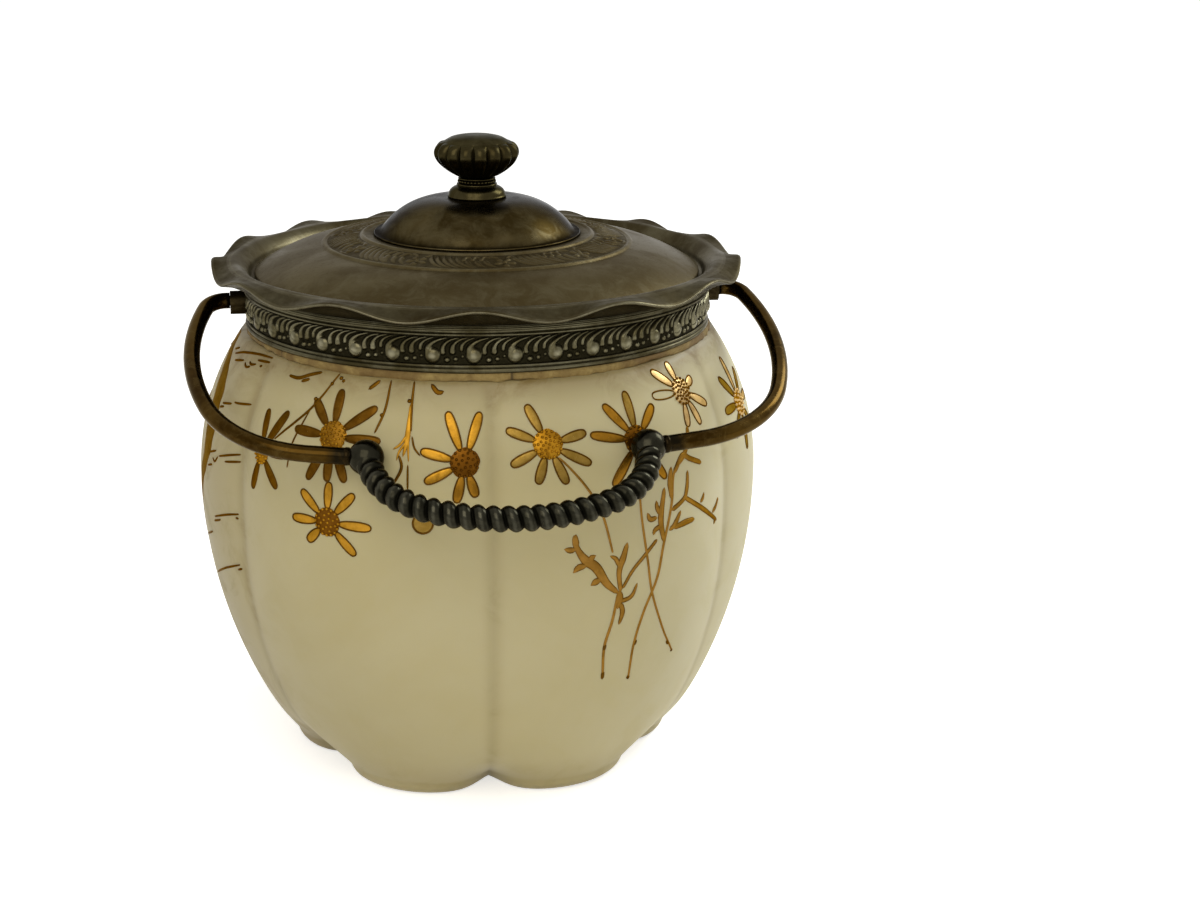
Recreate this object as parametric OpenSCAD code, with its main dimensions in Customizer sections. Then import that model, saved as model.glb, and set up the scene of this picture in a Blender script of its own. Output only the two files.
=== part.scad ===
// Biscuit jar: a melon-lobed glass bowl with a plated collar, a scalloped rim, a lift-off lid and a bail.
// Millimetres. The origin is the centre of the flat base, +Z is up, and X runs along the bail's hinge line.
// The bail hangs on the -Y side. Angles round the jar are counted from -Y towards +X.

/* [Glass bowl] */
// Diameter across two opposite lobes at the widest ring
belly_d = 165; // [150:1:210]
// Height of the widest ring above the table
belly_z = 85; // [65:1:105]
// Radius of the side's curve below the widest ring
side_r = 140; // [110:1:190]
// How far the shoulder stands out past the collar where it meets it
shoulder_lap = 2.4; // [1.5:0.1:6]
// Height of the shoulder where the neck starts
shoulder_z = 127; // [115:1:152]
// Rounding where the side turns under the base
heel_r = 4; // [2:0.5:8]
// Number of lobes
lobes = 6; // [5:1:8]
// Depth of the groove between two lobes at the widest ring
groove_depth = 3.7; // [2:0.1:6]
// Extra depth of the grooves at the foot, which parts the lobes into toes
toe_depth = 8.5; // [4:0.5:12]
// Further depth of the narrow notch between two toes
toe_notch = 5.5; // [0:0.5:8]
// Height over which the toes run out into the side
toe_h = 9.5; // [6:0.5:16]
// Thickness of the glass wall
glass_wall = 4; // [3:0.5:6]
// Thickness of the glass base
glass_base = 7; // [5:0.5:12]
// Turn of the bowl in its collar, which puts a groove this far from the middle of the front
bowl_turn = -3.5; // [-30:0.5:30]

/* [Neck and collar] */
// Outside diameter of the glass neck
neck_d = 125; // [104.5:0.5:132]
// Length of the glass neck above the shoulder
neck_h = 15.2; // [12:0.1:20]
// Thickness of the plaster between the neck and the collar
plaster_t = 3.5; // [2.5:0.1:4.5]
// Thickness of the sheet metal
sheet = 0.8; // [0.6:0.1:1.2]
// Gap between the shoulder and the collar's lower edge, filled with plaster
plaster_gap = 2.2; // [1.5:0.1:4]
// Height of the two beads at the collar's foot
foot_bead_h = 2.4; // [1.2:0.1:2.8]
// Height of the ornamental gallery band
gallery_h = 7.9; // [5:0.1:9]
// Thickness of the gallery band
gallery_t = 0.8; // [0.6:0.1:1.4]

/* [Scalloped rim] */
// How far the rim's edge stands out from the collar
rim_flare = 10.2; // [8:0.1:16]
// Height of the rim's ridge above the lid's seat
ridge_h = 4.6; // [3.5:0.1:8]
// Height of the rim's edge above the lid's seat, halfway between crest and trough
rim_rise = 3.5; // [2.5:0.1:7]
// Number of scallops
scallops = 14; // [8:1:16]
// Height of a scallop's crest above the middle of the edge
scallop_h = 1.6; // [0.5:0.1:2.5]
// Turn of the scallop that stands nearest the front
scallop_turn = -6; // [-15:0.5:15]
// How far the scallops at the sides are crowded towards the back
scallop_crowd = 9; // [0:0.5:12]
// Width of the ledge that carries the lid
seat_w = 5.2; // [3:0.1:6]

/* [Bail] */
// Diameter of the bail wire
wire_d = 4.6; // [3.5:0.1:5.5]
// Distance from the rim's edge out to the middle of the bail's sides
bail_margin = 6; // [5.5:0.1:14]
// Distance from the hinge line to the middle of each knuckle
knuckle_drop = 79.3; // [70:0.1:100]
// Diameter of the ball knuckles at the grip's ends
knuckle_d = 9.6; // [8:0.1:12]
// Diameter over the grip's twisted ridges
grip_d = 7; // [5.5:0.1:9]
// Depth of the valleys between the ridges
twist_depth = 1.1; // [0.5:0.1:1.6]
// Number of ridges along the grip
twist_ridges = 25; // [12:1:28]
// Diameter of the pivot at each end of the wire
pivot_d = 3; // [2:0.1:3.5]
// Radial clearance of a pivot in its ear
pivot_clear = 0.08; // [0.03:0.01:0.15]
// Diameter of each ear's barrel
ear_d = 5.6; // [5:0.1:8]
// Drop of the ear's lower end below the hinge line
ear_drop = 4; // [3.6:0.1:5]
// Length of each ear, outward from the gallery band
ear_len = 4.4; // [4:0.1:7]

/* [Lid] */
// How far the lid's edge stays inside the collar's outside
lid_inset = 2; // [1.6:0.1:5]
// Height from the lid's edge to the ornamental ring's outer line
lid_slope_h = 8; // [6:0.1:12]
// Width of the plain slope between the lid's edge and the ornamental ring
slope_w = 19.4; // [14:0.1:24]
// Width of the ornamental ring, from its outer line to the dome's foot
ring_w = 15.6; // [10:0.1:20]
// Height of the dome above the ornamental ring
dome_h = 10.6; // [6:0.1:16]
// Depth of the lid's skirt below its edge
skirt_depth = 4.4; // [2:0.1:8]
// Radial clearance of the skirt in the mouth
skirt_clear = 0.7; // [0.3:0.1:1.5]

/* [Finial] */
// Diameter of the fluted knob
knob_d = 24.8; // [18:0.1:30]
// Height of the fluted knob
knob_h = 12.2; // [9:0.1:16]
// Number of gadroons round the knob
knob_flutes = 16; // [12:1:24]
// Depth of the flutes between the gadroons
flute_depth = 0.9; // [0.4:0.1:1.4]
// Diameter of the stem under the knob
stem_d = 11; // [8:0.1:13]
// Height of the turned stem from the dome to the knob
stem_h = 6; // [4:0.1:9]
// Diameter of the stud that holds the finial to the lid
stud_d = 4; // [3:0.1:5]

/* [Hidden] */
$fn = 96;

opal = [0.86, 0.84, 0.70];
silver = [0.42, 0.40, 0.36];
dark_silver = [0.27, 0.26, 0.25];
wire_brass = [0.40, 0.34, 0.22];
plaster_tan = [0.76, 0.66, 0.47];

// Thin gaps that keep soldered and bedded pieces from running into each other
bed = 0.05;
seat_gap = 0.1;

// Heights and radii that the pieces share
belly_r = belly_d / 2;
neck_r = neck_d / 2;
neck_z = shoulder_z + neck_h;
collar_r = neck_r + plaster_t + sheet;
collar_z = shoulder_z + plaster_gap;
gallery_z = collar_z + foot_bead_h;
gallery_r = collar_r + gallery_t;
moulding_z = gallery_z + gallery_h;
seat_z = neck_z + 0.4 + sheet;
moulding_h = seat_z - sheet - moulding_z;
mouth_r = neck_r - glass_wall;
rim_r = collar_r + rim_flare;
lid_r = collar_r - lid_inset;
seat_out_r = lid_r + 0.8;
seat_in_r = seat_out_r - seat_w;

// ---- Shapes of the glass ----

bowl_sides = 12 * lobes;
bowl_step = 360 / bowl_sides;
// How quickly the grooves grow shallow above and below the widest ring
groove_spread = 45;

// Radius of the shoulder's curve, upright at the widest ring and passing through its meeting with the collar
shoulder_in = belly_r - collar_r - shoulder_lap;
shoulder_r = (pow(shoulder_in, 2) + pow(shoulder_z - belly_z, 2)) / (2 * shoulder_in);

// Radius of the bowl over its lobes at height z, for a wall that lies inset inside it
function crest_r(z, inset = 0) =
    let (arc = (z < belly_z ? side_r : shoulder_r) - inset)
    belly_r - inset - arc + sqrt(arc * arc - (z - belly_z) * (z - belly_z));

// Depth of a groove at height z
function groove_at(z) =
    groove_depth / (1 + pow((z - belly_z) / groove_spread, 2)) + toe_depth * exp(-pow(z / toe_h, 2));

// Depth of the notch between two toes at height z
function notch_at(z) = toe_notch * exp(-pow(z / toe_h, 2));

// Distance of a lobe's own centre from the axis, for a crest radius r and a groove depth d
function lobe_centre(r, d) =
    let (g = 1 - d / r)
    r * (1 - g * g) / (2 * (1 - g * cos(180 / lobes)));

// Half of the angle over which a notch runs out into the toes beside it
notch_turn = 7;

// Radius at the angle a from a groove: an arc round the nearest lobe's centre, less the notch
function lobed_r(a, r, d, notch) =
    let (c = lobe_centre(r, d), off = (a % (360 / lobes)) - 180 / lobes, side = 180 / lobes - abs(off))
    c * cos(off) + sqrt(pow(r - c, 2) - pow(c * sin(off), 2)) - notch * exp(-pow(side / notch_turn, 2));

function round_point(a, r, z) = [r * sin(a), -r * cos(a), z];

function lobed_ring(r, z, d, notch = 0) =
    [for (i = [0:bowl_sides - 1])
        let (a = i * bowl_step)
        round_point(a + bowl_turn, lobed_r(a, r, d, notch), z)];

function round_ring(r, z) = [for (i = [0:bowl_sides - 1]) round_point(i * bowl_step + bowl_turn, r, z)];

// Faces between stacked rings of n points, each face seen from outside
function ring_faces(rings, n) =
    [for (j = [0:rings - 2], i = [0:n - 1])
        let (a = j * n + i, b = j * n + (i + 1) % n)
        each [[a, a + n, b + n], [a, b + n, b]]];

// A closed solid through stacked rings of n points, capped at both ends
module ring_stack(rings, n) {
    last = (len(rings) - 1) * n;
    polyhedron(
        points = [for (ring = rings) each ring],
        faces = concat(
            ring_faces(len(rings), n),
            [[for (i = [0:n - 1]) i]],
            [[for (i = [n - 1:-1:0]) last + i]]
        ),
        convexity = 10
    );
}

pontil_r = 0.45 * crest_r(heel_r);
heel_steps = 3;
side_steps = 12;
shoulder_steps = 7;
inner_steps = 6;
inner_heel_r = 9;
side_angle = asin((belly_z - heel_r) / side_r);
shoulder_angle = asin((shoulder_z - belly_z) / shoulder_r);
inner_bottom = glass_base + inner_heel_r;
inner_side_angle = asin((belly_z - inner_bottom) / (side_r - glass_wall));
inner_top_z = shoulder_z - 2;
inner_shoulder_angle = asin((inner_top_z - belly_z) / (shoulder_r - glass_wall));
lip_r = 1;

module glass_bowl() {
    heel_rings = [for (i = [0:heel_steps - 1])
        let (a = 90 * i / heel_steps, z = heel_r * (1 - cos(a)))
        lobed_ring(crest_r(heel_r) - heel_r * (1 - sin(a)), z, groove_at(z), notch_at(z))];
    side_rings = [for (i = [side_steps:-1:1])
        let (z = belly_z - side_r * sin(side_angle * i / side_steps))
        lobed_ring(crest_r(z), z, groove_at(z), notch_at(z))];
    shoulder_rings = [for (i = [0:shoulder_steps])
        let (z = belly_z + shoulder_r * sin(shoulder_angle * i / shoulder_steps))
        lobed_ring(crest_r(z), z, groove_at(z))];
    neck_rings = [
        round_ring(collar_r - 1.4, shoulder_z + 0.8),
        round_ring(neck_r + 0.8, shoulder_z + 1.4),
        round_ring(neck_r, shoulder_z + 2.2),
        round_ring(neck_r, neck_z - lip_r),
        round_ring(neck_r - lip_r, neck_z),
        round_ring(mouth_r + lip_r, neck_z),
        round_ring(mouth_r, neck_z - lip_r),
        round_ring(mouth_r, shoulder_z + 2),
    ];
    inner_shoulder_rings = [for (i = [inner_steps:-1:0])
        let (z = belly_z + (shoulder_r - glass_wall) * sin(inner_shoulder_angle * i / inner_steps))
        lobed_ring(crest_r(z, glass_wall), z, groove_at(z))];
    inner_side_rings = [for (i = [1:inner_steps])
        let (z = belly_z - (side_r - glass_wall) * sin(inner_side_angle * i / inner_steps))
        lobed_ring(crest_r(z, glass_wall), z, groove_at(z))];
    inner_heel_rings = [for (i = [1:heel_steps])
        let (a = 90 * i / heel_steps)
        lobed_ring(crest_r(inner_bottom, glass_wall) - inner_heel_r * (1 - cos(a)),
            inner_bottom - inner_heel_r * sin(a), groove_at(inner_bottom) + groove_depth * sin(a))];
    color(opal)
    ring_stack(concat(
        [round_ring(pontil_r, 0)], heel_rings, side_rings, shoulder_rings, neck_rings,
        inner_shoulder_rings, inner_side_rings, inner_heel_rings, [round_ring(pontil_r, glass_base)]
    ), bowl_sides);
}

// ---- Collar ----

// The plaster that beds the collar on the neck, with a lip that shows under the collar's foot
module plaster_ring() {
    inner_r = neck_r + bed;
    sleeve_in_r = collar_r - sheet - bed;
    color(plaster_tan)
    rotate_extrude()
    polygon([
        [inner_r, shoulder_z + 2.3],
        [neck_r + 0.9, shoulder_z + 1.5],
        [collar_r - 1.4, shoulder_z + 0.9],
        [collar_r + 0.3, shoulder_z + 0.9],
        [collar_r + 0.1, collar_z - bed],
        [sleeve_in_r, collar_z - bed],
        [sleeve_in_r, neck_z - 0.6],
        [inner_r, neck_z - 0.6],
    ]);
}

module collar_sleeve() {
    color(silver)
    translate([0, 0, collar_z])
    difference() {
        cylinder(r = collar_r, h = seat_z - sheet - collar_z);
        translate([0, 0, -1]) cylinder(r = collar_r - sheet, h = seat_z - collar_z + 2);
    }
}

// Points of an arc in the r-z plane
function arc_points(centre, radius, from, to, steps) =
    [for (i = [0:steps])
        let (a = from + (to - from) * i / steps)
        centre + radius * [cos(a), sin(a)]];

// Points of a curve from p to q that leaves p towards the handle h and comes into q from it
function curve_points(p, h, q, steps) =
    [for (i = [0:steps])
        let (t = i / steps)
        (1 - t) * (1 - t) * p + 2 * t * (1 - t) * h + t * t * q];

// Strip soldered round the sleeve's lower edge, with a half-round bead and a finer one above it
module foot_bead() {
    low_r = 0.31 * foot_bead_h;
    high_r = 0.19 * foot_bead_h;
    color(silver)
    rotate_extrude()
    polygon(concat(
        [[collar_r + bed, collar_z]],
        arc_points([collar_r + 0.3, collar_z + low_r], low_r, -90, 75, 8),
        arc_points([collar_r + 0.3, collar_z + foot_bead_h - high_r], high_r, -75, 90, 6),
        [[collar_r + bed, collar_z + foot_bead_h]]
    ));
}

fillet_line = 0.5;

// Rolled strip with a raised line along each edge and a lower ground between them
module gallery_band() {
    ground_r = gallery_r - 0.25;
    color(silver)
    rotate_extrude()
    polygon([
        [collar_r + bed, gallery_z],
        [gallery_r, gallery_z],
        [gallery_r, gallery_z + fillet_line],
        [ground_r, gallery_z + fillet_line],
        [ground_r, moulding_z - fillet_line],
        [gallery_r, moulding_z - fillet_line],
        [gallery_r, moulding_z],
        [collar_r + bed, moulding_z],
    ]);
}

// Bead and cove between the gallery band and the rim
module collar_moulding() {
    bead_r = 0.4;
    bead_at = [collar_r + 1, moulding_z + bead_r];
    cove_top = [collar_r + 2.8, moulding_z + moulding_h];
    cove_foot = [collar_r + 1, moulding_z + 2 * bead_r];
    color(silver)
    rotate_extrude()
    polygon(concat(
        [[collar_r + bed, moulding_z]],
        arc_points(bead_at, bead_r, -90, 80, 8),
        curve_points(cove_foot, [cove_foot[0], cove_top[1] - 0.2], cove_top, 8),
        [[collar_r + bed, moulding_z + moulding_h]]
    ));
}

steps_per_scallop = 8;
rim_sides = steps_per_scallop * scallops;
edge_z = seat_z + rim_rise;
ridge_r = seat_out_r + 4.4;
ridge_z = seat_z + ridge_h;

// Angle of the rim's section i, with the sections a little closer together towards the back
function rim_angle(i) =
    let (even = 360 * i / rim_sides)
    even + scallop_crowd * sin(even) + scallop_turn;

// One section of the rim: the ledge, the cove that rises to the ridge, and the flare out to the rolled edge.
// The scallop lifts or drops the edge, and the flare follows it.
function rim_section(i) =
    let (s = scallop_h * cos(360 * i / steps_per_scallop), a = rim_angle(i))
    [for (p = [
        [seat_in_r, seat_z - sheet],
        [seat_out_r + 0.7, seat_z - sheet],
        [ridge_r - 1.8, seat_z + 0.32 * ridge_h],
        [ridge_r + 0.3, ridge_z - 1.3],
        [rim_r - 2.8, edge_z - 0.7 + 0.6 * s],
        [rim_r - 1.5, edge_z - 1.05 + s],
        [rim_r - 0.35, edge_z - 1 + s],
        [rim_r, edge_z - 0.5 + s],
        [rim_r - 0.5, edge_z - 0.05 + s],
        [rim_r - 2.6, edge_z + 0.45 + 0.6 * s],
        [ridge_r + 1.8, ridge_z - 0.1 + 0.15 * s],
        [ridge_r, ridge_z],
        [ridge_r - 1.6, ridge_z - 0.9],
        [ridge_r - 3.2, seat_z + 0.45 * ridge_h],
        [seat_out_r, seat_z],
        [seat_in_r, seat_z],
    ]) round_point(a, p[0], p[1])];

// Sweeps a closed section of n points round the axis
module section_sweep(sections, n) {
    count = len(sections);
    polyhedron(
        points = [for (section = sections) each section],
        faces = [for (i = [0:count - 1], j = [0:n - 1])
            let (k = (i + 1) % count, m = (j + 1) % n)
            each [[i * n + j, k * n + j, k * n + m], [i * n + j, k * n + m, i * n + m]]],
        convexity = 10
    );
}

module scalloped_rim() {
    color(silver)
    section_sweep([for (i = [0:rim_sides - 1]) rim_section(i)], 16);
}

// ---- Bail ----

bail_half_w = rim_r + bail_margin;
hinge_z = collar_z + 7.3;
ear_face = gallery_r + ear_len;
shoulder_gap = 0.3;
wire_start = ear_face + shoulder_gap;
pivot_len = 3.6;

// A lug saddled to the gallery band: a barrel at the hinge line with a narrower toe below it
module ear_lug() {
    toe_d = ear_d - 0.6;
    reach = ear_face - gallery_r + 3;
    translate([gallery_r - 3, 0, hinge_z])
    rotate([0, 90, 0])
    union() {
        cylinder(d = ear_d, h = reach);
        translate([ear_drop - toe_d / 2, 0, 0]) cylinder(d = toe_d, h = reach);
        translate([0, 0.2 - toe_d / 2, 0]) cube([ear_drop - toe_d / 2, toe_d - 0.4, reach]);
    }
}

// The lug with its blind bore for the pivot
module ear() {
    difference() {
        ear_lug();
        translate([0, 0, hinge_z - ear_d])
        cylinder(r = gallery_r + bed, h = 2 * ear_d);
        translate([0, 0, moulding_z - bed])
        cylinder(r = collar_r + 1.7, h = ear_d);
        translate([ear_face - pivot_len - 0.3, 0, hinge_z])
        rotate([0, 90, 0])
        cylinder(d = pivot_d + 2 * pivot_clear, h = pivot_len + 2);
    }
}

module right_ear() {
    color(silver)
    ear();
}

module left_ear() {
    color(silver)
    mirror([1, 0, 0])
    ear();
}

// The bail lies in its own plane: x across the jar, and d away from the hinge line.
// Headings turn from +x (0) towards +d (90) and on towards the middle (180).
end_run = 0.8;
corner_r = 34;
bow_turn = 18;
end_slope = 10;
grip_arc_r = 55;
grip_arc_turn = 25;
grip_corner_r = 24;
grip_corner_turn = 55;
grip_straight = 2.5;
grip_cut = 3.9;

// The grip runs from the knuckle down its corner arc and along its middle arc
grip_end_turn = grip_arc_turn + grip_corner_turn;
grip_end_dir = [cos(grip_end_turn), -sin(grip_end_turn)];
grip_half_w = (grip_arc_r - grip_corner_r) * sin(grip_arc_turn) + grip_corner_r * sin(grip_end_turn);
grip_depth = grip_arc_r - (grip_arc_r - grip_corner_r) * cos(grip_arc_turn)
    - grip_corner_r * cos(grip_end_turn);
knuckle_x = grip_half_w + (grip_straight + grip_cut) * cos(grip_end_turn);
grip_bottom = knuckle_drop + grip_depth + (grip_straight + grip_cut) * sin(grip_end_turn);

// The end bend takes the room between the ear's face and the bail's side, after a short straight run,
// and the side bow takes the length that the bends and the slope leave
corner_dx = corner_r * (sin(90 + bow_turn) - sin(180 - end_slope));
corner_dd = corner_r * (cos(90 + bow_turn) - cos(180 - end_slope));
bend_rise = 1 - cos(90 - bow_turn);
bow_sag = 1 - cos(bow_turn);
bow_span = 2 * sin(bow_turn) - tan(end_slope) * bow_sag;
bow_room = knuckle_drop - corner_dd - tan(end_slope) * (bail_half_w - corner_dx - knuckle_x);
bend_room = bail_half_w - wire_start - end_run;
end_bend_r = (bend_room - bow_sag * bow_room / bow_span)
    / (sin(90 - bow_turn) - bow_sag * bend_rise / bow_span);
bow_r = (bow_room - end_bend_r * bend_rise) / bow_span;
bow_x = bail_half_w - bow_r * (1 - cos(bow_turn));
bend_x = bow_x - end_bend_r * sin(90 - bow_turn);
bow_d = end_bend_r * (1 - cos(90 - bow_turn));
corner_d = bow_d + 2 * bow_r * sin(bow_turn);
run_x = bow_x - corner_dx;
run_d = corner_d + corner_dd;
run_len = (run_x - knuckle_x) / cos(end_slope);
knuckle_depth = 2.6;

// The bail hangs where its knuckles come this close to the shoulder
rest_clear = 0.2;

// Gap between a knuckle and the shoulder's curve when the bail leans this far from straight down
function knuckle_gap(lean) =
    norm([norm([knuckle_x, knuckle_drop * sin(lean)]) - belly_r + shoulder_r,
        hinge_z - knuckle_drop * cos(lean) - belly_z]) - shoulder_r - knuckle_d / 2;

// Halves the span of angles between low and high until the gap is the resting clearance
function rest_lean(low, high, halvings) =
    let (middle = (low + high) / 2)
    halvings == 0 ? middle
    : knuckle_gap(middle) > rest_clear ? rest_lean(low, middle, halvings - 1)
    : rest_lean(middle, high, halvings - 1);

bail_lean = rest_lean(40, 90, 20);

// Puts a drawing in the x-d plane onto the hanging bail
module bail_plane() {
    translate([0, 0, hinge_z])
    rotate([180 - bail_lean, 0, 0])
    rotate([90, 0, 0])
    children();
}

// The bends take the wire's full size. The straight runs and the side bow are finer by this much,
// and reach this far into the bends at their ends.
run_step = 0.04;
run_reach = 0.4;

// A round bend in the x-d plane that starts at p on the heading from and turns by turn
module wire_bend(p, from, radius, turn, d) {
    translate([p[0] - radius * sin(from), p[1] + radius * cos(from), 0])
    rotate([0, 0, from - 90])
    rotate_extrude(angle = turn)
    translate([radius, 0])
    circle(d = d, $fn = 32);
}

module wire_run(p, heading, length) {
    translate([p[0], p[1], 0])
    rotate([0, 0, heading])
    rotate([0, 90, 0])
    cylinder(d = wire_d - run_step, h = length, $fn = 32);
}

module bail_wire() {
    reach_turn = run_reach / bow_r * 180 / PI;
    bow_from = 90 - bow_turn - reach_turn;
    bow_start = [bow_x + bow_r * (sin(bow_from) - sin(90 - bow_turn)),
        bow_d - bow_r * (cos(bow_from) - cos(90 - bow_turn))];
    run_start = [run_x + run_reach * cos(end_slope), run_d - run_reach * sin(end_slope)];
    bail_plane() {
        translate([ear_face - pivot_len, 0, 0])
        rotate([0, 90, 0])
        cylinder(d = pivot_d, h = pivot_len + shoulder_gap + 0.5, $fn = 32);
        wire_run([wire_start, 0], 0, bend_x - wire_start + run_reach);
        wire_bend([bend_x, 0], 0, end_bend_r, 90 - bow_turn, wire_d);
        wire_bend(bow_start, bow_from, bow_r, 2 * (bow_turn + reach_turn), wire_d - run_step);
        wire_bend([bow_x, corner_d], 90 + bow_turn, corner_r, 90 - bow_turn - end_slope, wire_d);
        wire_run(run_start, 180 - end_slope, run_len - knuckle_depth + run_reach);
    }
}

module right_wire() {
    color(wire_brass)
    bail_wire();
}

module left_wire() {
    color(wire_brass)
    mirror([1, 0, 0])
    bail_wire();
}

// A ball with a blind socket for the wire's end and a flat where the grip butts on it
module knuckle() {
    bail_plane()
    difference() {
        translate([knuckle_x, knuckle_drop, 0])
        rotate([0, 90, 30])
        sphere(d = knuckle_d);
        translate([run_x, run_d, 0])
        rotate([0, 0, 180 - end_slope])
        rotate([0, 90, 0])
        cylinder(d = wire_d + 2 * bed, h = run_len - knuckle_depth + bed, $fn = 32);
        translate([knuckle_x, knuckle_drop, 0])
        rotate([0, 0, 180 - grip_end_turn])
        translate([grip_cut, -knuckle_d, -knuckle_d])
        cube(2 * knuckle_d);
    }
}

module right_knuckle() {
    color(dark_silver)
    knuckle();
}

module left_knuckle() {
    color(dark_silver)
    mirror([1, 0, 0])
    knuckle();
}

// Length of the grip's centre line, and the place and heading at the distance s from its right end
grip_corner_len = grip_corner_r * grip_corner_turn * PI / 180;
grip_arc_len = 2 * grip_arc_r * grip_arc_turn * PI / 180;
grip_len = 2 * (grip_straight + grip_corner_len) + grip_arc_len;

function grip_half_point(s) =
    s < grip_arc_len / 2
    ? let (a = s / grip_arc_r * 180 / PI)
        [grip_arc_r * sin(a), grip_bottom - grip_arc_r * (1 - cos(a)), a]
    : s < grip_arc_len / 2 + grip_corner_len
    ? let (a = grip_arc_turn + (s - grip_arc_len / 2) / grip_corner_r * 180 / PI)
        [(grip_arc_r - grip_corner_r) * sin(grip_arc_turn) + grip_corner_r * sin(a),
        grip_bottom - grip_arc_r + (grip_arc_r - grip_corner_r) * cos(grip_arc_turn)
            + grip_corner_r * cos(a),
        a]
    : let (t = s - grip_arc_len / 2 - grip_corner_len)
        [grip_half_w + t * grip_end_dir[0],
        grip_bottom - grip_depth + t * grip_end_dir[1], grip_end_turn];

function grip_point(s) =
    s < grip_len / 2
    ? let (p = grip_half_point(grip_len / 2 - s)) [-p[0], p[1], -p[2]]
    : grip_half_point(s - grip_len / 2);

grip_sides = 10;
rings_per_ridge = 5;
grip_rings = twist_ridges * rings_per_ridge;

// Radius of the twisted rope at the distance s along it and the angle q round it
function twist_r(s, q) =
    let (phase = 180 * twist_ridges * s / grip_len - q / 2)
    grip_d / 2 - twist_depth * (1 - abs(cos(phase)));

function grip_ring(i) =
    let (s = grip_len * i / grip_rings, p = grip_point(s))
    [for (j = [0:grip_sides - 1])
        let (q = 360 * j / grip_sides, r = twist_r(s, q))
        [p[0] + r * cos(q) * sin(p[2]), p[1] + r * cos(q) * cos(p[2]), r * sin(q)]];

module twisted_grip() {
    color(dark_silver)
    bail_plane()
    ring_stack([for (i = [0:grip_rings]) grip_ring(i)], grip_sides);
}

// ---- Lid ----

lid_z = seat_z + seat_gap;
ring_r = lid_r - slope_w;
dome_r = ring_r - ring_w;
ring_z = lid_z + 0.7 + lid_slope_h;
ring_in_r = dome_r + 2.4;
ring_rise = 2.5;
dome_z = ring_z + ring_rise;
dome_top_z = dome_z + dome_h;
stud_hole_r = stud_d / 2 + 0.3;
plate_hole_r = dome_r - 4;

// Corners of the outer slope's curve: the lid's edge, the handle and the ring's outer line
slope_from = [lid_r - 0.4, lid_z + 1.4];
slope_handle = [lid_r - 9, ring_z - 1.6];
slope_to = [ring_r, ring_z];

// Height of the plate's underside at the radius r, from the slope's own curve
function plate_under(r) =
    let (
        a = slope_from[0] - 2 * slope_handle[0] + slope_to[0],
        b = slope_handle[0] - slope_from[0],
        c = slope_from[0] - r - 0.3,
        t = (-b - sqrt(b * b - a * c)) / a
    )
    (1 - t) * (1 - t) * slope_from[1] + 2 * t * (1 - t) * slope_handle[1] + t * t * slope_to[1] - sheet;

// The spun plate: rolled edge, outer slope and ornamental ring between two raised lines.
// A wide hole in its middle lies under the dome.
module lid_plate() {
    slope = curve_points(slope_from, slope_handle, slope_to, 12);
    color(silver)
    rotate_extrude()
    polygon(concat(
        [[lid_r - 1.6, lid_z], [lid_r - 0.3, lid_z], [lid_r, lid_z + 0.7]],
        slope,
        [[ring_r - 0.3, ring_z + 0.6], [ring_r - 1.3, ring_z + 0.8], [ring_r - 1.7, ring_z + 0.5]],
        [[ring_in_r + 2.2, dome_z - 0.3], [ring_in_r + 1.6, dome_z + 0.3], [ring_in_r + 0.6, dome_z + 0.3]],
        [[ring_in_r, dome_z], [plate_hole_r, dome_z]],
        [[plate_hole_r, dome_z - sheet], [ring_in_r, dome_z - sheet], [ring_r - 0.6, ring_z + 0.35 - sheet]],
        [for (i = [len(slope) - 1:-1:1]) slope[i] - [0.3, sheet]]
    ));
}

// The raised middle, seated on the plate by a narrow flange
module lid_dome() {
    outer = curve_points([dome_r, dome_z + 0.9], [dome_r - 4.6, dome_top_z - 1.6], [stem_d, dome_top_z], 12);
    color(silver)
    rotate_extrude()
    polygon(concat(
        [[dome_r - 2, dome_z + bed], [dome_r + 1.2, dome_z + bed], [dome_r + 1.2, dome_z + 0.6]],
        outer,
        [[stud_hole_r, dome_top_z], [stud_hole_r, dome_top_z - sheet]],
        [for (i = [len(outer) - 1:-1:1]) outer[i] - [0.6, sheet]]
    ));
}

// The ring under the plate that keeps the lid in the mouth
module lid_skirt() {
    skirt_r = mouth_r - skirt_clear;
    color(silver)
    rotate_extrude()
    polygon([
        [skirt_r - sheet, lid_z - skirt_depth],
        [skirt_r, lid_z - skirt_depth],
        [skirt_r, plate_under(skirt_r) - bed],
        [skirt_r - sheet, plate_under(skirt_r - sheet) - bed],
    ]);
}

nut_h = 2.6;
washer_t = 0.8;
stud_end_z = dome_top_z - sheet - washer_t - nut_h - 1.5;
stem_r = stem_d / 2;
knob_z = dome_top_z + stem_h;

// Turned stem: a bell foot, a fine bead and a neck, with the stud below
module finial_stem() {
    foot_z = dome_top_z + bed;
    bell_h = 0.6 * stem_h;
    color(dark_silver)
    rotate_extrude()
    polygon(concat(
        [[0, stud_end_z], [stud_d / 2 - 0.4, stud_end_z], [stud_d / 2, stud_end_z + 0.4]],
        [[stud_d / 2, foot_z], [stem_r + 2.8, foot_z], [stem_r + 3.1, foot_z + 0.5]],
        curve_points([stem_r + 2.8, foot_z + 0.8], [stem_r + 2.6, foot_z + bell_h - 0.4],
            [stem_r + 0.3, foot_z + bell_h], 6),
        arc_points([stem_r + 0.1, foot_z + bell_h + 0.4], 0.4, -60, 60, 4),
        [[stem_r - 0.3, foot_z + bell_h + 0.9], [stem_r - 0.3, knob_z - bed], [0, knob_z - bed]]
    ));
}

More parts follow.
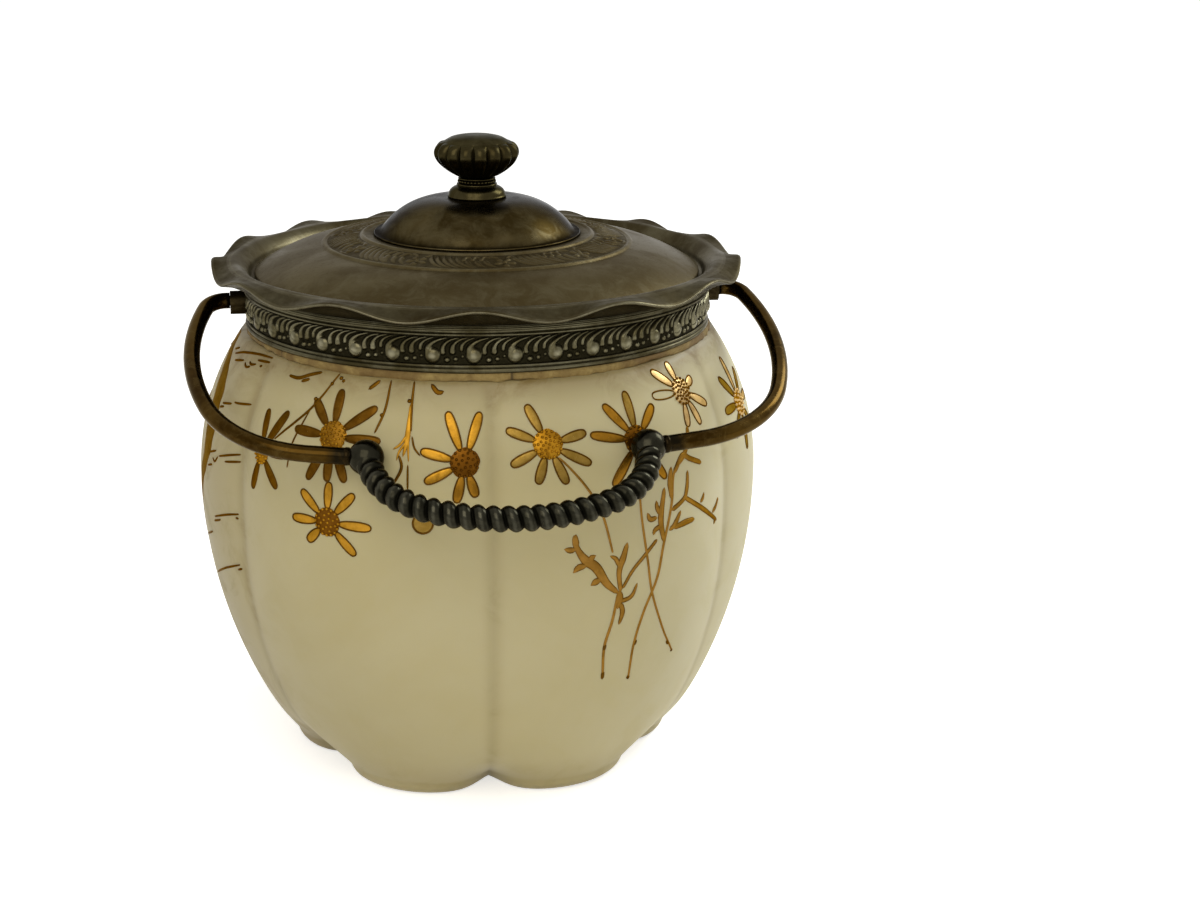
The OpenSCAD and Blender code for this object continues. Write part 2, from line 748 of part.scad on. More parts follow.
knob_r = knob_d / 2;
knob_steps = 7;
button_steps = 3;
knob_sides = 4 * knob_flutes;
knob_low = 70;
knob_high = 44;
gadroon_h = 0.86 * knob_h;
knob_mid = 0.55 * gadroon_h;

// Half the gadroons' outline: a low rounded bun, from its seat on the stem to the rim of the button
function knob_outline(t) =
    let (a = -knob_low + (knob_low + knob_high) * t)
    [knob_r * pow(cos(a), 0.75),
    knob_mid
        + (a < 0 ? knob_mid * sin(a) / sin(knob_low)
            : (gadroon_h - knob_mid) * sin(a) / sin(knob_high))];

// Gadroons under a smooth low button
module finial_knob() {
    gadroons = [for (i = [0:knob_steps])
        let (p = knob_outline(i / knob_steps), swell = pow(sin(180 * i / knob_steps), 0.6))
        [for (j = [0:knob_sides - 1])
            let (a = 360 * j / knob_sides, cut = flute_depth * swell * (1 - abs(cos(knob_flutes * a / 2))))
            round_point(a, p[0] - cut, knob_z + p[1])]];
    button_edge = knob_outline(1) - [0.2, -0.2];
    button = curve_points(button_edge, [0.8 * button_edge[0], knob_h], [0.3 * knob_r, knob_h], button_steps);
    color(dark_silver)
    ring_stack(concat(gadroons, [for (p = button)
        [for (j = [0:knob_sides - 1]) round_point(360 * j / knob_sides, p[0], knob_z + p[1])]]), knob_sides);
}

module finial_washer() {
    color(wire_brass)
    translate([0, 0, dome_top_z - sheet - washer_t - bed])
    difference() {
        cylinder(r = stud_d + 1, h = washer_t);
        translate([0, 0, -1]) cylinder(r = stud_hole_r, h = washer_t + 2);
    }
}

module finial_nut() {
    nut_z = dome_top_z - sheet - washer_t - nut_h - 2 * bed;
    color(wire_brass)
    translate([0, 0, nut_z])
    difference() {
        cylinder(r = stud_d, h = nut_h, $fn = 6);
        translate([0, 0, -1]) cylinder(r = stud_d / 2 + bed, h = nut_h + 2);
    }
}

glass_bowl();
plaster_ring();
collar_sleeve();
foot_bead();
gallery_band();
collar_moulding();
scalloped_rim();
left_ear();
right_ear();
left_wire();
right_wire();
left_knuckle();
right_knuckle();
twisted_grip();
lid_plate();
lid_dome();
lid_skirt();
finial_stem();
finial_knob();
finial_washer();
finial_nut();
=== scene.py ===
"""Looks of a melon-lobed glass biscuit jar with plated mounts, a swing bail and gilded daisies.

Sizes of the jar are in millimetres. The camera, the lamps and the shaders use metres, as the frame
does, so lattices are scaled as they are built. Angles are in degrees, apart from the camera's yaw,
pitch and roll, and those round the jar are counted from -Y towards +X.
"""

import logging
import math
from collections.abc import Sequence
from dataclasses import KW_ONLY, dataclass, field
from enum import Enum
from functools import cache
from typing import Protocol

import bpy
import numpy as np
from bpy.types import Material, Node, NodeSocket, NodeTree, Object
from mathutils import Matrix, Vector


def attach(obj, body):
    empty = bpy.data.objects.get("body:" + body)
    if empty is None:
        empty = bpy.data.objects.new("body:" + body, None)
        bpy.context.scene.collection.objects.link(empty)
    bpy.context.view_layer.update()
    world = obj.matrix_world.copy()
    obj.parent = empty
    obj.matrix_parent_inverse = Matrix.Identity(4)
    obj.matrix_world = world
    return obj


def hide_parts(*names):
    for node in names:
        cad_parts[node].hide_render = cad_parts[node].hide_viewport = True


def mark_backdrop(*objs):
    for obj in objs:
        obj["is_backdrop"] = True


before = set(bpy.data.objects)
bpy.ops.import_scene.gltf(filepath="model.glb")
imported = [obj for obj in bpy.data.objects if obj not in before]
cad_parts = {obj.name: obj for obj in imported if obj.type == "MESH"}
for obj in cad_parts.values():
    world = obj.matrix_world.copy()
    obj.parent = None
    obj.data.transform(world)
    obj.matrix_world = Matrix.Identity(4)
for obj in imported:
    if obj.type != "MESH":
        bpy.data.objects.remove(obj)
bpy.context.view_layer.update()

MM = 0.001
log = logging.getLogger("biscuit_jar")
Array = np.ndarray
Colour = tuple[float, float, float, float]
Route = Sequence[tuple[float, float]]
INSIDE = (0, 0, 85)  # A point inside the jar, in millimetres, which tells a face's outer side
POLE_R = 0.02  # Radius of the tiny ring that closes a turned end
GOLDEN_TURN = 137.508  # Angle from one seed of a sunflower to the next


def paint(red: float, green: float, blue: float) -> Colour:
    """A display colour as the linear colour that a shader takes.

    Args:
        red: Red, 0 to 255.
        green: Green, 0 to 255.
        blue: Blue, 0 to 255.

    Returns:
        Linear red, green, blue and an alpha of one.
    """
    parts = [c / 255 for c in (red, green, blue)]
    linear = [c / 12.92 if c <= 0.04045 else ((c + 0.055) / 1.055) ** 2.4 for c in parts]
    return (*linear, 1.0)


def between(t: Array, low: float, high: float, first: Array, second: Array) -> Array:
    """Mixes two points by where t lies between low and high."""
    return (high - t) / (high - low) * first + (t - low) / (high - low) * second


def spline(points: Sequence[Sequence[float]], per_segment: int, closed: bool = False) -> Array:
    """A centripetal Catmull-Rom curve through points of any dimension.

    Args:
        points: The points that the curve passes through.
        per_segment: Samples in each segment.
        closed: Whether the last point joins the first.

    Returns:
        The samples, one in each row, with the last point included on an open curve.
    """
    p = np.asarray(points, float)
    if closed:
        p = np.vstack([p[-1], p, p[0], p[1]])
    else:
        p = np.vstack([2 * p[0] - p[1], p, 2 * p[-1] - p[-2]])
    out = []
    for i in range(1, len(p) - 2):
        q = p[i - 1:i + 3]
        gaps = np.maximum(np.linalg.norm(np.diff(q, axis=0), axis=1), 1e-6)
        knots = np.concatenate([[0], np.cumsum(gaps ** 0.5)])
        t = np.linspace(knots[1], knots[2], per_segment, endpoint=False)[:, None]
        a = [between(t, knots[k], knots[k + 1], q[k], q[k + 1]) for k in range(3)]
        b = [between(t, knots[k], knots[k + 2], a[k], a[k + 1]) for k in range(2)]
        out.append(between(t, knots[1], knots[2], b[0], b[1]))
    if not closed:
        out.append(p[-2][None])
    return np.vstack(out)


def arc(centre: tuple[float, float], radius: float, start: float, stop: float, steps: int) -> Array:
    """Points of a round arc in the r-z plane.

    Args:
        centre: The arc's centre.
        radius: The arc's radius.
        start: First angle, from the outward direction.
        stop: Last angle.
        steps: Number of segments.

    Returns:
        The points, one in each row.
    """
    a = np.radians(np.linspace(start, stop, steps + 1))
    return np.stack([centre[0] + radius * np.cos(a), centre[1] + radius * np.sin(a)], 1)


def bezier(start: Sequence[float], handle: Sequence[float], stop: Sequence[float],
           steps: int) -> Array:
    """Points of a quadratic curve.

    Args:
        start: First point.
        handle: The point that the curve leaves and enters towards.
        stop: Last point.
        steps: Number of segments.

    Returns:
        The points, one in each row.
    """
    t = np.linspace(0, 1, steps + 1)[:, None]
    first, middle, last = (np.array(point) for point in (start, handle, stop))
    return (1 - t) ** 2 * first + 2 * t * (1 - t) * middle + t * t * last


def turns(count: int) -> Array:
    """Equal angles round a full turn."""
    return np.linspace(0, 360, count, endpoint=False)


def rings(out: Array, columns: int) -> tuple[Array, Array]:
    """Rings of points round a middle.

    Args:
        out: Radius of each ring.
        columns: Points in each ring.

    Returns:
        The points' places to the right and up, with a row for each ring.
    """
    turn = np.radians(turns(columns))[None]
    return out[:, None] * np.cos(turn), out[:, None] * np.sin(turn)


def round_points(azimuth: Array, radius: Array, height: Array) -> Array:
    """Points at angles round the jar.

    Args:
        azimuth: Angles from -Y towards +X.
        radius: Distances from the axis.
        height: Heights above the table.

    Returns:
        The points along a new last axis.
    """
    a = np.radians(azimuth)
    return np.stack(np.broadcast_arrays(radius * np.sin(a), -radius * np.cos(a), height), -1)


class Lattice:
    """A mesh piece made of rows and columns of points."""

    def __init__(self, points: Array, wrap_rows: bool = False, wrap_columns: bool = True) -> None:
        """Keeps the points.

        Args:
            points: Rows by columns by three, in millimetres.
            wrap_rows: Whether the last row joins the first.
            wrap_columns: Whether the last column joins the first.
        """
        self.points = np.asarray(points, float)
        self.wrap_rows = wrap_rows
        self.wrap_columns = wrap_columns

    def faces(self) -> Array:
        """Lists the four-sided faces.

        Returns:
            The corner numbers of each face.
        """
        rows, columns = self.points.shape[:2]
        i, j = np.meshgrid(
            np.arange(rows if self.wrap_rows else rows - 1),
            np.arange(columns if self.wrap_columns else columns - 1), indexing="ij")
        here, above = i * columns, (i + 1) % rows * columns
        beside = (j + 1) % columns
        return np.stack([here + j, here + beside, above + beside, above + j], -1).reshape(-1, 4)

    def hollows(self, reach: int = 1) -> Array:
        """How far each point stands out of its neighbours, for wear and dirt.

        Args:
            reach: Distance to the neighbours, in rows and columns.

        Returns:
            A value for each point: 0 in a sharp hollow, 0.5 on a flat and 1 on a sharp ridge.
        """
        p = self.points
        ahead = np.roll(p, -reach, 0) + np.roll(p, reach, 0)
        beside = np.roll(p, -reach, 1) + np.roll(p, reach, 1)
        along = np.roll(p, -1, 0) - np.roll(p, 1, 0)
        across = np.roll(p, -1, 1) - np.roll(p, 1, 1)
        normal = np.cross(across, along)
        normal /= np.maximum(np.linalg.norm(normal, axis=-1, keepdims=True), 1e-9)
        offset = p - (ahead + beside) / 4
        step = np.maximum(np.linalg.norm(along, axis=-1),
                          np.linalg.norm(across, axis=-1)) * reach / 2 + 1e-6
        stand = (offset * normal).sum(-1) / step
        if not self.wrap_rows:
            stand[:reach] = stand[-reach:] = 0
        return np.clip(0.5 + 1.6 * stand, 0, 1)


class Dresser(Protocol):
    """Anything that can make a material."""

    def material(self) -> Material:
        """Makes the material."""


@dataclass
class Piece:
    """Gathers lattices into one named object."""

    name: str
    lattices: list[Lattice] = field(default_factory=list)
    values: dict[str, list[Array]] = field(default_factory=dict)

    def add(self, lattice: Lattice, **values: Array) -> "Piece":
        """Adds a lattice.

        Args:
            lattice: The lattice.
            **values: A number for each point, kept as a named mesh attribute.

        Returns:
            This piece.
        """
        self.lattices.append(lattice)
        for name, value in values.items():
            spread = np.broadcast_to(value, lattice.points.shape[:2])
            self.values.setdefault(name, []).append(spread.ravel())
        return self

    def build(self) -> Object:
        """Makes the object, smooth shaded and facing outward.

        Returns:
            The new object, linked to the scene.
        """
        points = np.vstack([lattice.points.reshape(-1, 3) for lattice in self.lattices]) * MM
        faces, first = [], 0
        for lattice in self.lattices:
            part = lattice.faces()
            corners = lattice.points.reshape(-1, 3)[part]
            normal = np.cross(corners[:, 2] - corners[:, 0], corners[:, 3] - corners[:, 1])
            middle = corners.mean(1) - np.array(INSIDE)
            if (normal * middle).sum() < 0:
                part = part[:, ::-1]
            faces.append(part + first)
            first += lattice.points.shape[0] * lattice.points.shape[1]
        mesh = bpy.data.meshes.new(self.name)
        mesh.from_pydata(points, [], np.vstack(faces).tolist())
        for name, parts in self.values.items():
            attribute = mesh.attributes.new(name, "FLOAT", "POINT")
            attribute.data.foreach_set("value", np.concatenate(parts).astype(np.float32))
        mesh.validate()
        mesh.shade_smooth()
        made = bpy.data.objects.new(self.name, mesh)
        bpy.context.scene.collection.objects.link(made)
        return made


def lathe(profile: Array, columns: int, closed: bool = False) -> Lattice:
    """A body turned round the jar's axis.

    Args:
        profile: Radius and height of each row.
        columns: Points in each row.
        closed: Whether the profile is a loop.

    Returns:
        The lattice.
    """
    profile = np.asarray(profile, float)
    points = round_points(turns(columns)[None], profile[:, :1], profile[:, 1:2])
    return Lattice(points, wrap_rows=closed)


def cover(thing: Object, material: Material) -> None:
    """Gives an object one material in place of any others."""
    thing.data.materials.clear()
    thing.data.materials.append(material)


def dress(piece: Piece, finish: Dresser, body: str, slot: str, *nodes: str) -> Object:
    """Builds a piece and gives it its material, its body and its place in the part.

    Args:
        piece: The piece.
        finish: Its finish.
        body: The body that it moves with.
        slot: The record's material slot; not used.
        *nodes: The CAD nodes that it stands for.

    Returns:
        The new object.
    """
    made = piece.build()
    cover(made, finish.material())
    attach(made, body)
    if nodes:
        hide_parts(*nodes)
    log.info("%s: %d faces, rides on %s", made.name, len(made.data.polygons), body)
    return made


# ---- Node groups and finishes ----


class Graph:
    """A node tree with short ways to place and join nodes."""

    def __init__(self, tree: NodeTree) -> None:
        """Keeps the tree."""
        self.tree = tree

    def add(self, kind: str, **settings: object) -> Node:
        """Places a node.

        Args:
            kind: The node's class name.
            **settings: Properties to set on it.

        Returns:
            The node.
        """
        node = self.tree.nodes.new(kind)
        for name, value in settings.items():
            setattr(node, name, value)
        return node

    def join(self, source: NodeSocket, target: NodeSocket) -> None:
        """Links an output to an input."""
        self.tree.links.new(source, target)

    def ramp(self, value: NodeSocket, low: float, high: float, to_low: float = 0.0,
             to_high: float = 1.0) -> NodeSocket:
        """Eases a value from one span to another.

        Args:
            value: The value.
            low: Start of the span it comes from.
            high: End of that span.
            to_low: Start of the span it goes to.
            to_high: End of that span.

        Returns:
            The new value.
        """
        node = self.add("ShaderNodeMapRange", interpolation_type="SMOOTHSTEP")
        span = {"From Min": low, "From Max": high, "To Min": to_low, "To Max": to_high}
        for name, number in span.items():
            node.inputs[name].default_value = number
        self.join(value, node.inputs["Value"])
        return node.outputs["Result"]

    def math(self, operation: str, first: NodeSocket, second: NodeSocket | float,
             clamp: bool = False) -> NodeSocket:
        """Combines two values.

        Args:
            operation: Name of the operation.
            first: First value.
            second: Second value, a socket or a number.
            clamp: Whether the result stays between 0 and 1.

        Returns:
            The result.
        """
        node = self.add("ShaderNodeMath", operation=operation, use_clamp=clamp)
        self.join(first, node.inputs[0])
        if isinstance(second, (int, float)):
            node.inputs[1].default_value = second
        else:
            self.join(second, node.inputs[1])
        return node.outputs[0]

    def scaled(self, value: NodeSocket, share: float) -> NodeSocket:
        """Multiplies a value by a plain number."""
        return self.math("MULTIPLY", value, share)

    def attribute(self, name: str) -> NodeSocket:
        """Reads a named mesh attribute."""
        node = self.add("ShaderNodeAttribute", attribute_type="GEOMETRY", attribute_name=name)
        return node.outputs["Fac"]

    def blend(self, mask: NodeSocket, under: object, over: object) -> NodeSocket:
        """Mixes two colours by a mask.

        Args:
            mask: 0 shows the first colour and 1 the second.
            under: First colour, a socket or four numbers.
            over: Second colour, a socket or four numbers.

        Returns:
            The mixed colour.
        """
        node = self.add("ShaderNodeMix", data_type="RGBA")
        self.join(mask, node.inputs[0])
        for socket, colour in ((node.inputs[6], under), (node.inputs[7], over)):
            if isinstance(colour, NodeSocket):
                self.join(colour, socket)
            else:
                socket.default_value = colour
        return node.outputs[2]

    def noise(self, scale: float | NodeSocket, where: NodeSocket, detail: float = 4.0,
              roughness: float = 0.55, distortion: float = 0.0) -> NodeSocket:
        """Cloudy noise over the object.

        Args:
            scale: Features in a metre.
            where: The coordinates.
            detail: Number of finer layers.
            roughness: Strength of the finer layers.
            distortion: How far the clouds are pulled.

        Returns:
            The noise value.
        """
        node = self.add("ShaderNodeTexNoise")
        node.inputs["Detail"].default_value = detail
        node.inputs["Roughness"].default_value = roughness
        node.inputs["Distortion"].default_value = distortion
        if isinstance(scale, NodeSocket):
            self.join(scale, node.inputs["Scale"])
        else:
            node.inputs["Scale"].default_value = scale
        self.join(where, node.inputs["Vector"])
        return node.outputs["Fac"]


class Effect:
    """Shader groups that several finishes share, each built once."""

    @staticmethod
    def frame(name: str, inputs: dict[str, float],
              outputs: Sequence[str]) -> tuple[Graph, Node, Node]:
        """Starts a group.

        Args:
            name: The group's name.
            inputs: Names and defaults of its inputs.
            outputs: Names of its outputs.

        Returns:
            The graph, its input node and its output node.
        """
        tree = bpy.data.node_groups.new(name, "ShaderNodeTree")
        for label, default in inputs.items():
            socket = tree.interface.new_socket(label, in_out="INPUT", socket_type="NodeSocketFloat")
            socket.default_value = default
        for label in outputs:
            tree.interface.new_socket(label, in_out="OUTPUT", socket_type="NodeSocketFloat")
        graph = Graph(tree)
        return graph, graph.add("NodeGroupInput"), graph.add("NodeGroupOutput")

    @staticmethod
    @cache
    def tarnish_clouds() -> NodeTree:
        """Broad cloudy tarnish and finer smudges.

        Returns:
            The group.
        """
        graph, given, made = Effect.frame(
            "tarnish_clouds", {"Scale": 40.0, "Shift": 0.0, "Smudge Scale": 140.0},
            ("Clouds", "Smudges"))
        place = graph.add("ShaderNodeTexCoord")
        moved = graph.add("ShaderNodeMapping")
        shift = graph.add("ShaderNodeCombineXYZ")
        for axis in range(3):
            graph.join(given.outputs["Shift"], shift.inputs[axis])
        graph.join(place.outputs["Object"], moved.inputs["Vector"])
        graph.join(shift.outputs[0], moved.inputs["Location"])
        clouds = graph.noise(given.outputs["Scale"], moved.outputs[0], 5.0, 0.6, 0.5)
        smudges = graph.noise(given.outputs["Smudge Scale"], moved.outputs[0], 6.0, 0.7, 0.9)
        graph.join(graph.ramp(clouds, 0.36, 0.66), made.inputs["Clouds"])
        graph.join(graph.ramp(smudges, 0.42, 0.68), made.inputs["Smudges"])
        return graph.tree

    @staticmethod
    @cache
    def relief_wear_and_light() -> NodeTree:
        """Dirty hollows and bright worn ridges from the relief attribute; on some rows of the rim
        and at the dome's foot the same masks paint shade and highlights.

        Returns:
            The group.
        """
        graph, given, made = Effect.frame(
            "relief_wear_and_light", {"Hollow": 0.42, "Ridge": 0.62, "Break Scale": 300.0},
            ("Dirt And Shade", "Rubbed And Highlight"))
        relief = graph.attribute("relief")
        place = graph.add("ShaderNodeTexCoord")
        broken = graph.noise(given.outputs["Break Scale"], place.outputs["Object"], 5.0, 0.65)
        spread = graph.scaled(graph.math("SUBTRACT", broken, 0.5), 0.25)
        height = graph.math("ADD", relief, spread)
        fade = 0.3
        below = graph.math("SUBTRACT", given.outputs["Hollow"], height)
        dirt_and_shade = graph.math("DIVIDE", below, fade)
        above = graph.math("SUBTRACT", height, given.outputs["Ridge"])
        rubbed_and_highlight = graph.math("DIVIDE", above, fade)
        graph.join(graph.ramp(dirt_and_shade, 0.0, 1.0), made.inputs["Dirt And Shade"])
        graph.join(graph.ramp(rubbed_and_highlight, 0.0, 1.0), made.inputs["Rubbed And Highlight"])
        return graph.tree

    @staticmethod
    @cache
    def fine_grain() -> NodeTree:
        """Fine pitting for bump and roughness.

        Returns:
            The group.
        """
        graph, given, made = Effect.frame("fine_grain", {"Scale": 900.0}, ("Height", "Speckle"))
        place = graph.add("ShaderNodeTexCoord")
        fine = graph.noise(given.outputs["Scale"], place.outputs["Object"], 4.0, 0.6)
        coarse_scale = graph.scaled(given.outputs["Scale"], 0.22)
        coarse = graph.noise(coarse_scale, place.outputs["Object"], 3.0, 0.5)
        height = graph.math("ADD", graph.scaled(fine, 0.6), graph.scaled(coarse, 0.4))
        graph.join(height, made.inputs["Height"])
        graph.join(graph.ramp(fine, 0.5, 0.72), made.inputs["Speckle"])
        return graph.tree

    @staticmethod
    def place(graph: Graph, tree: NodeTree, **values: float) -> Node:
        """Puts a group in a material.

        Args:
            graph: The material's graph.
            tree: The group.
            **values: Its inputs, with underscores for spaces.

        Returns:
            The group node.
        """
        node = graph.add("ShaderNodeGroup", node_tree=tree)
        for name, value in values.items():
            node.inputs[name.replace("_", " ").title()].default_value = value
        return node


def shader(name: str, constants: dict[str, object]) -> tuple[Material, Graph, Node]:
    """Starts a material with a Principled surface.

    Args:
        name: The material's name.
        constants: Plain values of the surface's own sockets, by their names.

    Returns:
        The material, its graph and the surface node.
    """
    material = bpy.data.materials.new(name)
    material.use_nodes = True
    graph = Graph(material.node_tree)
    surface = material.node_tree.nodes["Principled BSDF"]
    for label, value in constants.items():
        surface.inputs[label].default_value = value
    return material, graph, surface


@dataclass(frozen=True)
class Coat:
    """What a finish mixes its colour and dullness from."""

    graph: Graph
    clouds: NodeSocket
    smudges: NodeSocket
    speckle: NodeSocket


@dataclass(frozen=True, kw_only=True)
class Finish:
    """What all finishes share: the scales of their clouds and grain, dullness and pits."""

    name: str
    cloud_scale: float
    shift: float
    smudge_scale: float
    grain_scale: float
    smooth: float
    dull: float
    pitting: float
    pit_depth: float = 0.0002

    def constants(self) -> dict[str, object]:
        """Lists the plain values of the surface."""
        return {"Metallic": 0.0}

    def mix(self, coat: Coat) -> tuple[NodeSocket, NodeSocket]:
        """Mixes the colour and the dullness, each finish in its own way."""
        raise NotImplementedError

    def material(self) -> Material:
        """Builds the material.

        Returns:
            The material.
        """
        material, graph, surface = shader(self.name, self.constants())
        clouds = Effect.place(graph, Effect.tarnish_clouds(), scale=self.cloud_scale,
                              shift=self.shift, smudge_scale=self.smudge_scale)
        grain = Effect.place(graph, Effect.fine_grain(), scale=self.grain_scale)
        coat = Coat(graph, *clouds.outputs, grain.outputs["Speckle"])
        colour, dull = self.mix(coat)
        graph.join(colour, surface.inputs["Base Color"])
        graph.join(dull, surface.inputs["Roughness"])
        bump = graph.add("ShaderNodeBump")
        bump.inputs["Strength"].default_value = self.pitting
        bump.inputs["Distance"].default_value = self.pit_depth
        graph.join(grain.outputs["Height"], bump.inputs["Height"])
        graph.join(bump.outputs["Normal"], surface.inputs["Normal"])
        return material


@dataclass(frozen=True, kw_only=True)
class MetalFinish(Finish):
    """What the metals share: the tint of their edges."""

    edge: Colour

    def constants(self) -> dict[str, object]:
        """Lists the plain values of the surface."""
        return {"Metallic": 1.0, "Specular Tint": self.edge}


@dataclass(frozen=True)
class PlateFinish(MetalFinish):
    """Old tarnished silver plate.

    Its clouds run from deep to base, with light smudges. On a carved piece the hollows are dirty
    and the ridges worn bright; the same masks also paint shade under the rim and at the dome's
    foot, a dark reflection on the rim's outer slope and highlights along its lip and ridge.
    """

    name: str
    base: Colour
    deep: Colour
    light: Colour
    rubbed_and_highlight: Colour
    _: KW_ONLY
    cloud_scale: float = 38.0
    shift: float = 0.0
    smudge_scale: float = 150.0
    grain_scale: float = 1100.0
    smooth: float = 0.30
    dull: float = 0.48
    pitting: float = 0.07
    edge: Colour = (0.66, 0.64, 0.60, 1.0)
    carved: bool = True
    hollow: float = 0.42
    ridge: float = 0.62
    break_scale: float = 320.0
    grime_and_shade: float = 0.3
    smudge_share: float = 0.45
    speckle_share: float = 0.25
    dirt_dulls: float = 0.3
    speckle_dulls: float = 0.08

    def mix(self, coat: Coat) -> tuple[NodeSocket, NodeSocket]:
        """Mixes the finish.

        Args:
            coat: What it is mixed from.

        Returns:
            Its colour and its dullness.
        """
        graph = coat.graph
        colour = graph.blend(coat.clouds, self.deep, self.base)
        smudges = graph.scaled(coat.smudges, self.smudge_share)
        colour = graph.blend(smudges, colour, self.light)
        dull = graph.ramp(coat.clouds, 0.0, 1.0, self.dull, self.smooth)
        if self.carved:
            wear_and_light = Effect.place(graph, Effect.relief_wear_and_light(), hollow=self.hollow, ridge=self.ridge,
                                break_scale=self.break_scale)
            # Darkened tarnish for hollows; on the rows that the rim and the dome force, it is
            # painted shade
            dirt_and_shade = (*(c * self.grime_and_shade for c in self.deep[:3]), 1.0)
            colour = graph.blend(wear_and_light.outputs["Rubbed And Highlight"], colour, self.rubbed_and_highlight)
            colour = graph.blend(wear_and_light.outputs["Dirt And Shade"], colour, dirt_and_shade)
            dirt_dulls = graph.scaled(wear_and_light.outputs["Dirt And Shade"], self.dirt_dulls)
            dull = graph.math("ADD", dull, dirt_dulls, clamp=True)
        speckle = graph.scaled(coat.speckle, self.speckle_share)
        colour = graph.blend(speckle, colour, self.deep)
        speckle_dulls = graph.scaled(coat.speckle, self.speckle_dulls)
        return colour, graph.math("ADD", dull, speckle_dulls)


@dataclass(frozen=True)
class WireFinish(MetalFinish):
    """Drawn wire with its plate worn to olive brass, blackened where the soot attribute is 1."""

    name: str
    base: Colour
    deep: Colour
    worn: Colour
    black: Colour
    _: KW_ONLY
    cloud_scale: float = 55.0
    shift: float = 0.31
    smudge_scale: float = 260.0
    grain_scale: float = 1500.0
    smooth: float = 0.19
    dull: float = 0.31
    pitting: float = 0.06
    edge: Colour = (0.74, 0.70, 0.62, 1.0)
    worn_share: float = 0.3
    soot_break: float = 0.25

    def mix(self, coat: Coat) -> tuple[NodeSocket, NodeSocket]:
        """Mixes the finish.

        Args:
            coat: What it is mixed from.

        Returns:
            Its colour and its dullness.
        """
        graph = coat.graph
        soot = graph.attribute("soot")
        colour = graph.blend(coat.clouds, self.deep, self.base)
        worn = graph.scaled(coat.smudges, self.worn_share)
        colour = graph.blend(worn, colour, self.worn)
        broken = graph.scaled(coat.smudges, -self.soot_break)
        stained = graph.math("ADD", soot, broken, clamp=True)
        colour = graph.blend(stained, colour, self.black)
        return colour, graph.ramp(coat.smudges, 0.0, 1.0, self.smooth, self.dull)


@dataclass(frozen=True)
class OpalGlass(Finish):
    """Opal glass with an acid-etched satin skin, darker where its mask attribute is 1: painted
    shade, and soil near the table.
    """

    name: str = "satin_opal_glass"
    body: Colour = paint(188, 176, 130)
    pale: Colour = paint(194, 184, 144)
    # Brown of the painted shade under the collar, in the creases and on the left side, and of the
    # soil near the table
    shade_and_soil_tone: Colour = paint(128, 108, 60)
    _: KW_ONLY
    cloud_scale: float = 11.0
    shift: float = 0.12
    smudge_scale: float = 60.0
    grain_scale: float = 1300.0
    smooth: float = 0.52
    dull: float = 0.62
    pitting: float = 0.05
    scatter: tuple[float, float, float] = (1.0, 0.8, 0.45)
    shade_and_soil_least: float = 0.68

    def constants(self) -> dict[str, object]:
        """Lists the plain values of the surface."""
        return {"Metallic": 0.0, "Subsurface Weight": 0.3, "Subsurface Scale": 0.004, "IOR": 1.5,
                "Subsurface Radius": self.scatter}

    def mix(self, coat: Coat) -> tuple[NodeSocket, NodeSocket]:
        """Mixes the finish.

        Args:
            coat: What it is mixed from.

        Returns:
            Its colour and its dullness.
        """
        graph = coat.graph
        handled = graph.attribute("handled")
        colour = graph.blend(coat.clouds, self.body, self.pale)
        # Painted shade and soil, broken up by the smudges
        cloudy = graph.ramp(coat.smudges, 0.0, 1.0, self.shade_and_soil_least, 1.0)
        colour = graph.blend(graph.math("MULTIPLY", handled, cloudy), colour, self.shade_and_soil_tone)
        return colour, graph.ramp(coat.smudges, 0.0, 1.0, self.smooth, self.dull)


@dataclass(frozen=True)
class PlasterFinish(Finish):
    """Aged tan plaster, dark where the crack attribute is 1."""

    name: str = "aged_plaster"
    pale: Colour = paint(160, 138, 84)
    brown: Colour = paint(110, 86, 42)
    crack: Colour = paint(44, 30, 12)
    _: KW_ONLY
    cloud_scale: float = 90.0
    shift: float = 0.4
    smudge_scale: float = 420.0
    grain_scale: float = 700.0
    smooth: float = 0.85
    dull: float = 0.95
    pitting: float = 0.6
    pit_depth: float = 0.0006
    smudge_share: float = 0.5

    def mix(self, coat: Coat) -> tuple[NodeSocket, NodeSocket]:
        """Mixes the finish.

        Args:
            coat: What it is mixed from.

        Returns:
            Its colour and its dullness.
        """
        graph = coat.graph
        crack = graph.attribute("crack")
        colour = graph.blend(coat.clouds, self.brown, self.pale)
        smudges = graph.scaled(coat.smudges, self.smudge_share)
        colour = graph.blend(smudges, colour, self.brown)
        colour = graph.blend(crack, colour, self.crack)
        return colour, graph.ramp(coat.clouds, 0.0, 1.0, self.smooth, self.dull)


@dataclass(frozen=True)
class GiltFinish(MetalFinish):
    """Gilt or bronzed enamel paint, thin and rubbed in places."""

    name: str
    base: Colour
    thin: Colour
    _: KW_ONLY
    cloud_scale: float = 240.0
    shift: float = 0.2
    smudge_scale: float = 900.0
    grain_scale: float = 2600.0
    smooth: float = 0.38
    dull: float = 0.52
    pitting: float = 0.25
    edge: Colour = (0.55, 0.46, 0.28, 1.0)
    thin_share: float = 0.8
    mended_share: float = 0.35

    def mix(self, coat: Coat) -> tuple[NodeSocket, NodeSocket]:
        """Mixes the finish.

        Args:
            coat: What it is mixed from.

        Returns:
            Its colour and its dullness.
        """
        graph = coat.graph
        thin = graph.scaled(coat.clouds, self.thin_share)
        colour = graph.blend(thin, self.base, self.thin)
        mended = graph.scaled(coat.smudges, self.mended_share)
        colour = graph.blend(mended, colour, self.base)
        return colour, graph.ramp(coat.smudges, 0.0, 1.0, self.smooth, self.dull)


